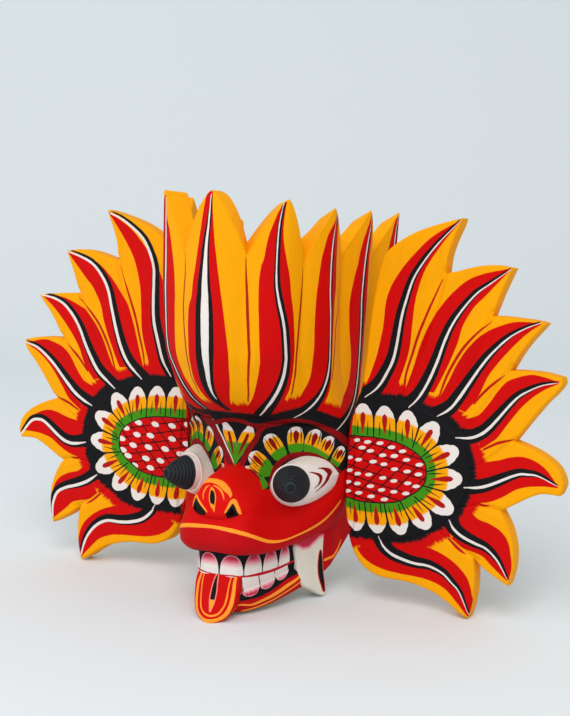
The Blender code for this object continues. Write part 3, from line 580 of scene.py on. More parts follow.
def dot_field(at, centres, size):
    """Distance inside the nearest tilted ellipse, scaled by its shorter radius."""
    offset = at[:, None] - np.array(centres)
    level = offset[..., 1] - DOT_TILT * offset[..., 0]
    return ((1.0 - np.hypot(offset[..., 0] / size[0], level / size[1])) * size[1]).max(axis=1)


def petal_parts():
    """For each petal: its axis, its drop's axis and two fine lines; and the gaps between petals."""
    axes, drops, fine = [], [], []
    bases, tips = np.array(PETAL_BASES), np.array(PETAL_TIPS)
    for base, tip in zip(bases, tips):
        axis = base + (tip - base) * np.linspace(-0.1, 1.0, 8)[:, None]
        axes.append(axis)
        drops.append(base + (tip - base) * np.linspace(DROP_FROM, DROP_TO, 5)[:, None])
        for side in (-1, 1):
            fine.append(beside(axis[1:5], side * PETAL_LINE_SIDE))
    low, high = (bases[1:] + bases[:-1]) / 2, (tips[1:] + tips[:-1]) / 2
    gaps = [base + (tip - base) * np.linspace(-0.05, 1.1, 6)[:, None] for base, tip in zip(low, high)]
    return axes, drops, fine, gaps


def wing_fields(at, side):
    """Every field of one wing's paint at the points of the board."""
    whites = [flame[0] for flame in FLAMES] if side > 0 else LEFT_WHITES
    axes, drops, fine, gaps = petal_parts()
    petals = most_inside(stroke(at, axis, PETAL_WIDTHS) for axis in axes)
    oval = patch(at, rounded(EAR_OVAL, 4), 40.0)
    bands = [smooth(beside(line, BAND_SHIFT[side])) for line in whites]
    fields = {
        "red": most_inside(patch(at, between(inner, outer)) for _, inner, outer in FLAMES),
        "black": most_inside(stroke(at, band, BAND_WIDTHS[side]) for band in bands),
        "ground": patch(at, rounded(EAR_GROUND, 4), 30.0),
        "petals": petals,
        "petals_yellow": np.minimum(6.0 * petals, oval + YELLOW_REACH),
        "petals_green": np.minimum(6.0 * (petals + 0.4), oval + GREEN_REACH),
        "oval": oval,
        "dots": np.minimum(dot_field(at, DOTS[side], DOT_SIZE[side]), oval),
        "hatch_down": at[:, 1] + 0.2 * at[:, 0],
        "hatch_up": at[:, 1] - 1.1 * at[:, 0],
    }
    for name, lines, widths in (
        ("white", whites, WHITE_WIDTHS[side]), ("notch", NOTCH_LINES, NOTCH_WIDTHS),
        ("drop", drops, DROP_WIDTHS), ("fine", fine, PETAL_LINE_WIDTHS), ("gap", gaps, GAP_WIDTHS),
    ):
        fields.update(line_fields(name, at, [(line, widths) for line in lines]))
    offset = at - EAR_MIDDLE
    radius = np.linalg.norm(offset, axis=1)
    turn = np.arctan2(*offset.T) * EAR_STREAK_RADIUS
    fields["brush"] = np.stack([turn, radius, 0 * radius], axis=1)
    return fields


def over_the_edge(fields):
    """The front's fields, then the sawn edge's, where no stroke goes."""
    count = len(board_edge) * (len(WALL_ROWS) - 1)
    bare = {name: np.full((count, *values.shape[1:]), FAR_OUTSIDE) for name, values in fields.items()}
    return {name: np.concatenate([values, bare[name]]) for name, values in fields.items()}


for name, side in SIDES.items():
    keep(wings[name], over_the_edge(wing_fields(front_points, side)))
print("a wing's attributes:", len(wings[name].data.attributes))


# %% [markdown]
# ## The head
# The carver cuts the block along lines that run round it from the middle of the face to the sawn
# back: the lips, the teeth, the lids, the brow. Five points draw each line, and smooth curves join
# them round the head and up from line to line. Above the brow the crown's nine petals rise as
# ridges with valleys gouged between them.

# %% The carving lines
FACE_LINES = (
    ((-58.5, 2), (14, -55, 2.5), (27.5, -32.5, 6), (44, 19), 62),
    ((-63, 8), (15.5, -58.5, 8.5), (30, -33.5, 12.5), (44.4, 24), 64),
    ((-64, 15), (16, -60, 15), (30, -31, 19.5), (44.6, 29), 67),
    ((-61.5, 16.5), (14.5, -58.5, 16.5), (27.5, -30, 21), (44.8, 31), 68),
    ((-64.8, 26), (15, -60, 25.5), (27.5, -33, 25), (45.2, 37), 70),
    ((-64, 39.5), (14.5, -59.5, 39), (26.5, -35, 39), (46.2, 45), 74),
    ((-67, 40.5), (18, -64.5, 40), (30.5, -42, 39.5), (48, 47.5), 75),
    ((-72, 48), (21.2, -68.8, 47), (33, -45.5, 43), (52, 56), 79),
    ((-70.5, 56), (21.2, -69, 55), (33.5, -45, 46.5), (54.8, 67.2), 83),
    ((-66.5, 64), (19.5, -62.5, 64), (32.5, -39, 58), (55, 72.8), 87),
    ((-48, 76), (19, -40, 73), (31.5, -28.5, 67), (55, 77.7), 90),
    ((-41, 87), (18, -31.5, 80), (32.5, -21.5, 80), (55, 84.3), 94),
    ((-40, 98), (16.5, -33, 97), (32.5, -22.5, 97.5), (55, 91.8), 97),
    ((-39, 110.5), (15, -37, 110.5), (33, -23.5, 108), (54.8, 97), 100),
    ((-40.5, 115), (15, -40.5, 114.5), (34.5, -25.5, 112.2), (55, 100), 102.5),
)
SIDE_Y, RIM_HALF_WIDTH = 3.0, 51.5

# Of each level of the crown: heights in front and at the side, how far the front stands out,
# half-width, what the rim adds, how square the plan is, and how deep the valleys are
CROWN_PROFILE = (
    (119.5, 105.5, -45.5, 54.8, 0, -4.5, 0),
    (123.6, 111, -53, 54.5, 0, -3, 0.05),
    (132, 120, -65, 54, 0, -2, 0.2),
    (148.5, 140, -75.5, 54, 1, -0.8, 0.5),
    (163.5, 160, -79, 54.5, 2.5, 0.3, 0.75),
    (196, 196, -75.7, 56, 5, 1, 1),
    (254, 254, -68, 57.5, 6, 1.2, 1),
)
CROWN_SPLIT = 196.0
PETAL_MARKS = (0, 0.72, 1.45, 1.93, 2.52, 3.02, 3.35, 3.66, 4)
TIPS = {1: (254, 249, 243, 240, 237), -1: (254, 253, 248, 241, 237)}
TIP_SLOPES = {1: (1, 3, 7.5, 8, 8), -1: (1, 2, 1, 6, 8)}
BOWS_OUTSIDE = (1.35, 1.35, 1.2, 1.15, 1.15)
BOWS_INSIDE = (2.1, 1.3, 1.05, 1, 1)
NOTCHES_OUTSIDE = (217.2, 211.3, 213, 210)
NOTCHES_INSIDE = (224.5, 224.2, 220, 218)
VALLEY_DEPTHS = (4.8, 4.5, 7.2, 8)
RIDGE_SHARPNESS = 1.25
HOLLOW = (
    (0, -33, 18), (25, -40, 22), (50, -48, 34), (66, -42, 40), (80, -19, 40.5), (100, -20, 40.5),
    (114, -23, 40.5), (123, -34, 40), (134, -51, 39), (163, -63, 39), (196, -61, 40), (225, -58.5, 43),
    (254, -56, 45.5),
)
FLOOR_THICKNESS = 11.0
print("lines round the face:", len(FACE_LINES), "and round the crown:", len(CROWN_PROFILE))


# %% From the lines to the wall
def monotone(knots, values, at):
    """Cubic through the values at the knots, with slopes (harmonic means) that never overshoot."""
    knots, values = np.asarray(knots, float), np.asarray(values, float)
    flat = values.reshape(len(values), -1)
    step = np.diff(knots)[:, None]
    slope = np.diff(flat, axis=0) / step
    before, after = slope[:-1], slope[1:]
    same = before * after > 0
    inner = np.where(same, 2 * before * after / np.where(same, before + after, 1.0), 0.0)
    tangent = np.concatenate([slope[:1], inner, slope[-1:]])
    at = np.asarray(at, float)
    k = np.clip(np.searchsorted(knots, at.ravel(), side="right") - 1, 0, len(knots) - 2)
    h = step[k]
    w = (at.ravel()[:, None] - knots[k][:, None]) / h
    curve = cubic(flat[k], h * tangent[k], flat[k + 1], h * tangent[k + 1], w)
    return curve.reshape(at.shape + values.shape[1:])


def ring(front, middle_z, side_z, half_width, rim_extra, square):
    """Five points of a round line: middle, a third and two thirds round, side and rim."""
    front, middle_z, side_z, half_width, rim_extra, square = np.broadcast_arrays(
        front, middle_z, side_z, half_width, rim_extra, square
    )
    near, far = 0.5 + 0.03 * square, 0.866 + 0.019 * square
    depth, drop = front - SIDE_Y, side_z - middle_z
    x = [0 * front, half_width * near, half_width * far, half_width, half_width + rim_extra]
    y = [front, SIDE_Y + depth * (0.866 + 0.009 * square), SIDE_Y + depth * near, SIDE_Y + 0 * front]
    y += [rim_y(side_z)]
    z = [middle_z, middle_z + drop * 0.20, middle_z + drop * 0.60, side_z, side_z]
    return np.stack([np.stack(c, axis=-1) for c in (x, y, z)], axis=-1)


def head_levels():
    """The five points of every line, and each line's share of the valleys' depth."""
    levels = []
    for (y, z), corner, cheek, (side, side_z), rim_z in FACE_LINES:
        rim = (max(side, RIM_HALF_WIDTH), rim_y(rim_z), rim_z)
        levels.append([(0.0, y, z), corner, cheek, (side, SIDE_Y, side_z), rim])
    crown = np.array(CROWN_PROFILE[:-1])
    rings = ring(*crown[:, [2, 0, 1, 3, 4, 5]].T)
    return np.concatenate([levels, rings]), np.concatenate([np.zeros(len(levels)), crown[:, 6]])


def on_wall(levels, at):
    """Point of a line at a place: Catmull-Rom from 0, the middle, to 3, the side, then to 4, the rim."""
    side, rim = levels[..., 3:4, :], levels[..., 4:5, :]
    reach = np.linalg.norm(side - levels[..., 2:3, :], axis=-1, keepdims=True)
    along = (rim - side) / np.linalg.norm(rim - side, axis=-1, keepdims=True)
    mirror = levels[..., 1:2, :] * (-1, 1, 1)
    control = np.concatenate([mirror, levels[..., :4, :], side + along * reach], axis=-2)
    curve_at = np.clip(at, -0.5, 3.0 - 1e-9)
    k = np.clip(np.floor(curve_at).astype(int), 0, 2)
    w = (curve_at - k)[..., None]
    a, b, c, d = (
        np.take_along_axis(control, (k + n)[..., None, None], axis=-2)[..., 0, :] for n in range(4)
    )
    curved = cubic(b, (c - a) / 2, c, (d - b) / 2, w)
    back = np.maximum(at - 3.0, 0.0)
    spread = np.stack([1.0 - (1.0 - back) ** 2, back, back], axis=-1)
    straight = side[..., 0, :] + (rim - side)[..., 0, :] * spread
    return np.where((at < 3.0)[..., None], curved, straight)


def out_of_wall(levels, at):
    """Level direction out of the wall: the step along the line, turned by a right angle."""
    step = on_wall(levels, at + 1e-3) - on_wall(levels, at - 1e-3)
    out = np.stack([step[..., 1], -step[..., 0], 0 * step[..., 0]], axis=-1)
    return out / np.linalg.norm(out, axis=-1, keepdims=True)


def petal_phase(at):
    """0 on a petal's tip and 1 in a notch."""
    return np.interp(at, PETAL_MARKS, [n % 2 for n in range(len(PETAL_MARKS))])


def valley_depth(at):
    """Depth of the nearest notch's valley times a power of the phase."""
    return np.interp(at, PETAL_MARKS[1::2], VALLEY_DEPTHS) * petal_phase(at) ** RIDGE_SHARPNESS


def petal_outline(at, tips, notches, bows):
    """Height of the crown's edge: the tip's, less its drop to the notch times a power of the phase."""
    petal = np.searchsorted(PETAL_MARKS[1::2], at)
    tip, bow = np.array(tips)[petal], np.array(bows)[petal]
    notch = np.interp(at, PETAL_MARKS[1::2], notches)
    return tip - (tip - notch) * petal_phase(at) ** bow


LEVELS, VALLEY_SHARES = head_levels()
print("the carving lines:", LEVELS.shape[:2], "lines and points")

# %% [markdown]
# ## A grid fine enough for the paint
# The columns follow the crown's own length, so the paint's numbers are about a millimetre apart
# all over. Every tip and notch has a column of its own, which keeps the sawn points sharp.

# %% The outer wall and the hollow
COLUMN_SPACING, BACK_SPACING, ROW_SPACING = 1.1, 1.8, 1.4
HOLLOW_ROWS = 28


def half_columns():
    """Places from 0 to 4, evenly spaced between each two marks along the crown's level line."""
    level = LEVELS[-1]
    fine = np.linspace(0.0, 4.0, 801)
    travel = travelled(on_wall(level[None], fine))
    places = [np.zeros(1)]
    for start, end in zip(PETAL_MARKS[:-1], PETAL_MARKS[1:]):
        low, high = np.interp([start, end], fine, travel)
        spacing = COLUMN_SPACING if end < 3.1 else BACK_SPACING
        stops = np.linspace(low, high, max(2, round((high - low) / spacing)) + 1)[1:]
        places.append(np.interp(stops, travel, fine))
    places = np.concatenate(places)
    return places, np.interp(places, fine, travel)


def line_rows():
    """Line numbers of the rows below the split, about a row spacing apart in the middle."""
    gaps = np.linalg.norm(np.diff(LEVELS[:, :3], axis=0), axis=2).max(axis=1)
    rows = [np.zeros(1)]
    for n, gap in enumerate(gaps):
        count = max(2, math.ceil(gap / ROW_SPACING))
        rows.append(n + np.arange(1, count + 1) / count)
    return np.concatenate(rows)


def outer_half(side, at, rows):
    """One half of the outside: lower rows from the carving lines, upper rows up to the petals' edge."""
    number = np.arange(len(LEVELS))
    control = monotone(number, LEVELS, rows)[:, None]
    depth = monotone(number, VALLEY_SHARES, rows)[:, None, None] * valley_depth(at)[None, :, None]
    lower = on_wall(control, at[None]) - out_of_wall(control, at[None]) * depth
    top = petal_outline(at, TIPS[side], NOTCHES_OUTSIDE, BOWS_OUTSIDE)
    count = round((max(TIPS[side]) - CROWN_SPLIT) / ROW_SPACING)
    heights = CROWN_SPLIT + (top - CROWN_SPLIT)[None] * (np.arange(1, count + 1) / count)[:, None]
    bottom, end = np.array(CROWN_PROFILE[-2]), np.array(CROWN_PROFILE[-1])
    share = (heights - bottom[0]) / (end[0] - bottom[0])
    _, _, front, width, extra, square, _ = (bottom + (end - bottom) * share[..., None]).transpose(2, 0, 1)
    level = ring(front, heights, heights, width, extra, square)
    upper = on_wall(level, at[None] + 0 * heights)
    upper -= out_of_wall(level, at[None] + 0 * heights) * valley_depth(at)[None, :, None]
    return np.concatenate([lower, upper])


def inner_half(side, at):
    """One half of the hollow: a plain U whose front and width follow the height."""
    sizes = np.array(HOLLOW)
    foot = on_wall(LEVELS[:1], at)[:, 2] + FLOOR_THICKNESS
    tips = np.subtract(TIPS[side], TIP_SLOPES[side])
    top = petal_outline(at, tips, NOTCHES_INSIDE, BOWS_INSIDE)
    heights = foot + (top - foot) * (np.arange(HOLLOW_ROWS + 1) / HOLLOW_ROWS)[:, None]
    front, width = np.moveaxis(monotone(sizes[:, 0], sizes[:, 1:], heights), -1, 0)
    return on_wall(ring(front, heights, heights, width, 6.0, 0.0), at[None] + 0 * heights)


def both_halves(make, *words):
    """The left half mirrored, then the right half, as one sheet from rim to rim."""
    left, right = make(-1, *words), make(1, *words)
    return np.concatenate([left[:, :0:-1] * (-1, 1, 1), right], axis=1)


half_at, half_run = half_columns()
wall_rows = line_rows()
outside = both_halves(outer_half, half_at, wall_rows)
inside_wall = both_halves(inner_half, half_at)
place = np.concatenate([-half_at[:0:-1], half_at])
unrolled = np.concatenate([-half_run[:0:-1], half_run])
print("the head's outside:", outside.shape[:2], "rows and columns")

# %% [markdown]
# ## Edges that a knife has eased
# No edge of a hand-held carving stays sharp. The crown's edge turns over through a small curve
# between the outside and the inside of the wall.

# %% The shell
EASED = 1.3
EASE_STEPS = (0.15, 0.4, 0.65, 0.85)


def eased_edge(edge, below, beyond):
    """Quadratic Bezier from a point under the edge, round it, to a point past it."""
    down = below - edge
    across = beyond - edge
    size = np.minimum(EASED, 0.4 * np.linalg.norm(across, axis=1, keepdims=True))
    start = edge + down / np.linalg.norm(down, axis=1, keepdims=True) * size
    end = edge + across / np.linalg.norm(across, axis=1, keepdims=True) * size
    return [start] + [(1 - w) ** 2 * start + 2 * w * (1 - w) * edge + w**2 * end for w in EASE_STEPS] + [end]


def grid_faces(rows, columns, start=0):
    """Quads of a grid of points that is stored row by row."""
    corner = (np.arange(rows - 1)[:, None] * columns + np.arange(columns - 1)[None]).ravel() + start
    return np.stack([corner, corner + 1, corner + columns + 1, corner + columns], axis=1)


def shell_points():
    """One closed sheet of rows: up the outside, over the eased edge and down the inside."""
    top, inner_top = outside[-1], inside_wall[-1]
    outer_edge = eased_edge(top, outside[-2], inner_top)
    inner_edge = eased_edge(inner_top, inside_wall[-2], top)
    low = outside[:-1]
    return np.stack([*low, *outer_edge, *inner_edge[::-1], *inside_wall[-2::-1]])


shell = shell_points()
print("the shell:", shell.shape)

# %% [markdown]
# ## Closing the block
# The sawn back, the chin's underside and the floor of the hollow are flat faces, so each is its
# outline filled with triangles.

# %% The shell as one closed mesh
OUTSIDE_ROWS = len(outside)


def shell_faces():
    """The sheet's quads, cut in two, and the filled outlines of the back, underside and floor."""
    rows, columns = shell.shape[:2]
    quads = grid_faces(rows, columns)
    faces = [quads[:, [0, 1, 2]], quads[:, [0, 2, 3]]]
    number = np.arange(rows * columns).reshape(rows, columns)
    back = np.concatenate([number[:, 0], number[::-1, -1]])
    fills = ((number[0], (0, 1), -1), (number[-1], (0, 1), 1), (back, (0, 2), -1))
    for loop, axes, turn in fills:
        _, filled = triangulated(shell.reshape(-1, 3)[loop][:, axes], len(loop))
        faces.append(loop[filled][:, ::turn])
    return faces


faces = shell_faces()
slots = np.repeat([0, 1], [len(faces[0]) + len(faces[1]), sum(len(fill) for fill in faces[2:])])
head_shell = mesh_object("shell", shell.reshape(-1, 3) * MM, np.concatenate(faces), slots)
print("the shell has", len(head_shell.data.polygons), "triangles")

# %% [markdown]
# ## What stands out of the face
# Nose, tongue, tusks and eyes are left standing when the block is cut. Each is a closed body
# through rings of points, with its foot sunk into the head, and a Boolean union makes it one with
# the wood.

# %% Bodies through rings
def body(name, rings):
    """Quads between the rings of a (rings, points, 3) array, and a fan of triangles on each end."""
    count, size = rings.shape[:2]
    ring_number = np.arange(size)
    after = np.roll(ring_number, -1)
    starts = (np.arange(count - 1) * size)[:, None]
    a, b = starts + ring_number, starts + after
    quads = np.stack([a, b, b + size, a + size], axis=-1).reshape(-1, 4)
    centres = rings[[0, -1]].mean(axis=1)
    low, high = count * size, count * size + 1
    last = (count - 1) * size
    caps = [
        np.stack([b[0], a[0], np.full(size, low)], axis=1),
        np.stack([last + ring_number, last + after, np.full(size, high)], axis=1),
    ]
    points = np.concatenate([rings.reshape(-1, 3), centres])
    faces = np.concatenate([quads[:, [0, 1, 2]], quads[:, [0, 2, 3]], *caps])
    corner = points[faces]
    if np.einsum("ij,ij->i", corner[:, 0], np.cross(corner[:, 1], corner[:, 2])).sum() < 0:
        faces = faces[:, ::-1]
    return mesh_object(name, points * MM, faces)


NOSE_SECTIONS = (
    (60, 15.5, -64), (62.5, 19.6, -69.5), (66.5, 21, -71.6), (72, 19.4, -71.6), (77, 15.6, -71),
    (81.5, 11.6, -70), (84.5, 8.8, -67.2), (86.5, 6.6, -60), (88, 4.4, -49),
)
NOSE_ROOT_Y = -34.0
NOSTRIL_OUTLINE = ((12.2, 70.8), (15, 64.6), (9.6, 64.2))
TONGUE_SECTIONS = (
    (30, -56, 13), (27.2, -62.5, 14.2), (22, -66.8, 14.5), (16, -69, 14.2), (10, -71.2, 13.4),
    (5.5, -73.3, 11.8), (2.2, -74.8, 9.4), (0, -75.6, 6.2),
)
TONGUE_CROWN, TONGUE_THICKNESS = 3.0, 10.0
TUSK_OUTLINE = (
    (-26.2, 43), (-26.5, 36), (-25.5, 29), (-24, 20), (-21.5, 12), (-17, 8.5), (-11.5, 5), (-6.5, 1.5),
    (-3.2, 0.3), (-2, 4), (-3, 12), (-4.2, 22), (-4.5, 33), (-4, 43),
)
TUSK_FRONT_X, TUSK_BACK_X = 34.0, 43.2
TUSK_THICKNESS, TUSK_ROUND = 11.0, 2.2
print("the nose's sections:", len(NOSE_SECTIONS), "the tongue's:", len(TONGUE_SECTIONS))


# %% Nose, tongue, tusks and nostrils
def nose():
    """Level sections: x a power of the cosine, y a power of the sine, flat in front."""
    sections = np.array(NOSE_SECTIONS)
    z = np.linspace(sections[0, 0], sections[-1, 0], 44)
    half, front = monotone(sections[:, 0], sections[:, 1:], z).T[:, :, None]
    turn = np.linspace(0.0, math.pi, 57)
    x = -half * np.sign(np.cos(turn)) * np.abs(np.cos(turn)) ** 0.75
    y = NOSE_ROOT_Y + (front - NOSE_ROOT_Y) * np.sin(turn) ** 0.62
    return body("nose", np.stack([x, y, z[:, None] + 0 * x], axis=-1))


def tongue():
    """Across: a parabola whose middle stands forward. Along: the sections joined smoothly."""
    sections = np.array(TONGUE_SECTIONS)
    z, front, half = monotone(np.arange(8), sections, np.linspace(0.0, 7.0, 50)).T[:, :, None]
    x = half * np.linspace(-1.0, 1.0, 31)
    bow = 1.0 - (x / half) ** 2
    face = np.stack([x, front + TONGUE_CROWN * (1 - bow) - TONGUE_CROWN * 0.5 * bow, z + 0 * x], axis=-1)
    behind = np.stack([-x, front + TONGUE_CROWN + TONGUE_THICKNESS + 0 * x, z + 1.5 + 0 * x], axis=-1)
    return body("tongue", np.concatenate([face, behind], axis=1))


def tusk(side):
    """The outline seen from the side, its edge turned over by a quarter round, its face in rings."""
    outline = rounded(TUSK_OUTLINE, 6)
    middle = outline.mean(axis=0)
    slope = (TUSK_BACK_X - TUSK_FRONT_X) / (TUSK_OUTLINE[-1][0] - TUSK_OUTLINE[0][0])
    out = np.array([1.0, -slope, 0.0]) / math.hypot(1.0, slope)
    toward = middle - outline
    toward /= np.linalg.norm(toward, axis=1, keepdims=True)
    turn = np.radians(np.linspace(0.0, 90.0, 7))
    flat = [(0.0, TUSK_ROUND, share) for share in np.linspace(0.08, 0.97, 15)]
    turned = [(TUSK_ROUND * (1 - math.cos(t)), TUSK_ROUND * (1 - math.sin(t)), 1.0) for t in turn]
    rings = []
    for depth, inset, share in (*flat, *turned, (TUSK_THICKNESS, 0.0, 1.0)):
        edge = outline + toward * inset * (outline[:, 1:] < 42.0)
        y, z = (middle + (edge - middle) * share).T
        line = np.stack([TUSK_FRONT_X + slope * (y - TUSK_OUTLINE[0][0]), y, z], axis=1)
        rings.append((line - out * depth) * (side, 1, 1))
    return body("tusk", np.array(rings))


def nostril(side):
    """A triangle that gets smaller as it goes in."""
    corners = np.array(NOSTRIL_OUTLINE)
    middle = corners.mean(axis=0)
    rings = []
    for y, scale in ((-80.0, 1.15), (-70.5, 1.0), (-65.5, 0.45)):
        x, z = (middle + (corners - middle) * scale).T
        rings.append(np.stack([side * x, 0 * x + y, z], axis=1))
    return body("nostril", np.array(rings))


print("the tusks are", round(TUSK_THICKNESS), "mm thick")


# %% [markdown]
# ## The eyes
# Each eye is an almond on its own slanting plane, with steep walls up to the foot of a blunt cone:
# the pupil stands out of the face like a peg and looks a little outwards.

# %% Eyeballs and pupils
EYE_PLANE = np.array([(18.5, -31.0), (54.0, -6.0)])
EYE_OUTLINE = (
    (18.1, 74.9), (18.6, 70.6), (20.6, 66.7), (24, 63.2), (29, 61.4), (35.4, 61.6), (42.3, 64.2),
    (47.5, 68.3), (51.4, 73.3), (53.6, 80.8), (49, 87.6), (42.9, 91.3), (36, 92.6), (31, 91.2),
    (26.3, 88.1), (21.8, 82.5),
)
EYE_SINK = 6.0
PUPIL_BASE, PUPIL_TIP = np.array([34.8, -34.5, 78.6]), np.array([42.4, -51.8, 80.8])
PUPIL_RADIUS = 11.3
PUPIL_RINGS = ((-0.12, 0.9), (0, 1), (0.22, 0.94), (0.52, 0.74), (0.79, 0.5), (0.95, 0.28), (1, 0.1))
PUPIL_AXIS = (PUPIL_TIP - PUPIL_BASE) / np.linalg.norm(PUPIL_TIP - PUPIL_BASE)
PUPIL_ACROSS = np.cross((0.0, 0.0, 1.0), PUPIL_AXIS)
PUPIL_ACROSS /= np.linalg.norm(PUPIL_ACROSS)
PUPIL_UP = np.cross(PUPIL_AXIS, PUPIL_ACROSS)


def on_eye_plane(at):
    """The point over (x, z) on the eye's slanting plane."""
    (x0, y0), (x1, y1) = EYE_PLANE
    return np.stack([at[:, 0], y0 + (y1 - y0) * (at[:, 0] - x0) / (x1 - x0), at[:, 1]], axis=1)


def around_pupil(turn, radius):
    """Points round the pupil's axis at its base."""
    spoke = PUPIL_ACROSS * np.cos(turn)[:, None] + PUPIL_UP * np.sin(turn)[:, None]
    return PUPIL_BASE + spoke * radius


def eyeball(side):
    """From the almond to the pupil's foot, with a slight swell on the way."""
    foot = on_eye_plane(rounded(EYE_OUTLINE, 10))
    toward = foot - PUPIL_BASE
    top = around_pupil(np.arctan2(toward @ PUPIL_UP, toward @ PUPIL_ACROSS), PUPIL_RADIUS + 0.8)
    along = EYE_PLANE[1] - EYE_PLANE[0]
    normal = np.array([along[1], -along[0], 0.0]) / np.linalg.norm(along)
    outward_step = (foot - top) / np.linalg.norm(foot - top, axis=1, keepdims=True)
    rings = [foot - normal * EYE_SINK, foot - normal * EYE_SINK / 2]
    for share in np.linspace(0.0, 1.0, 34):
        swell = math.sin(share * math.pi) * 2.2
        rings.append(foot + (top - foot) * share + normal * swell + outward_step * swell * 0.3)
    return body("eyeball", np.array(rings) * (side, 1, 1))


def pupil(side):
    """A cone with a round end: the radius falls smoothly along the axis."""
    steps = np.array(PUPIL_RINGS)
    at = np.concatenate([np.linspace(0.0, 1.0, 3)[:-1], np.linspace(1.0, 6.0, 26)])
    along, scale = monotone(np.arange(7), steps, at).T
    turn = np.linspace(0.0, 2 * math.pi, 48, endpoint=False)
    length = np.linalg.norm(PUPIL_TIP - PUPIL_BASE)
    spokes = (around_pupil(turn, PUPIL_RADIUS) - PUPIL_BASE) * scale[:, None, None]
    rings = PUPIL_BASE + spokes + PUPIL_AXIS * (along * length)[:, None, None]
    return body("pupil", rings * (side, 1, 1))


print("a pupil stands out by", round(float(np.linalg.norm(PUPIL_TIP - PUPIL_BASE)), 1), "mm")


# %% What trims the feet in the hollow
HOLLOW_FROM, HOLLOW_TO, HOLLOW_DEEPER, HOLLOW_HIGHER = 31.0, 108.0, 0.8, 1.5


def hollow():
    """The hollow's front part, a hair deeper and higher; its depth runs out evenly at the top."""
    sizes, at = np.array(HOLLOW), np.linspace(0.0, 3.0, 31)
    heights = np.linspace(HOLLOW_FROM, HOLLOW_TO, 36)[:, None] + 0 * at
    front, width = np.moveaxis(monotone(sizes[:, 0], sizes[:, 1:], heights - HOLLOW_HIGHER), -1, 0)
    deeper = np.minimum(HOLLOW_DEEPER, 0.1 * (HOLLOW_TO - heights) - 0.3)
    level = ring(front - deeper, heights, heights, width + deeper, 6.0, 0.0)
    right = on_wall(level, at[None] + 0 * heights)
    return body("hollow", np.concatenate([right[:, ::-1] * (-1, 1, 1), right[:, 1:]], axis=1))


added = [nose(), tongue()] + [make(side) for side in (-1, 1) for make in (eyeball, pupil, tusk)]
cut = [nostril(side) for side in (-1, 1)] + [hollow()]
print("bodies:", [piece.name for piece in added + cut])


# %% [markdown]
# ## What the brush drew on the crown
# Every petal of the crown has the same leaf as the wings' flames, drawn on the unrolled wall: across
# is the way round the head, up is the height. The left petals mirror the right ones, stretched to
# their own tips, except the first, whose line runs straighter.

# %% The crown's strokes
MIDDLE_RED = (
    ((-0.9, 259), (-2.6, 253), (-4.8, 240.8), (-8.8, 212.4), (-10.6, 202.8), (-11.6, 193.3),
     (-14.3, 186.7), (-14.6, 176.8), (-13.7, 167), (-13.6, 156.9), (-13.8, 146.4), (-11.6, 139.5),
     (-8.3, 133.6), (-2, 127)),
    ((1.1, 259), (1.8, 240.9), (5.8, 213), (14.6, 168.5), (16.1, 158.5), (15.9, 148.1), (15.3, 142.7),
     (11.5, 131.2), (9, 127)),
)
MIDDLE_BLACK = (
    ((0.1, 251.2), (-1.1, 240.9), (-4.1, 222), (-4.9, 212.6), (-6.1, 203.1), (-6.5, 195), (-7.2, 187.3),
     (-6.3, 167.7), (-6.1, 157.7), (-6.7, 147.2), (-5.2, 136.2), (-2.6, 130.5), (2, 124)),
    ((1.1, 250.7), (1.4, 243.3), (0.8, 222.2), (2.3, 203.6), (4.8, 187.9), (6.6, 168.5), (6.5, 158.5),
     (4.1, 142.5), (3.6, 136.9), (4.4, 131), (7, 124)),
)
MIDDLE_WHITE = (
    ((0.35, 252.2), (-0.4, 233.9), (-1.2, 222.1), (-1.1, 203.3), (-0.5, 195), (-0.3, 187.6), (1.4, 158.3),
     (0.4, 142.3), (0.4, 136.7), (1.6, 132.6)),
    (0.15, 0.35, 0.55, 0.85, 1.1, 1.55, 1.95, 2.35, 2.75, 2.7, 2.5, 2.2, 1.6, 1.2, 0.3),
)
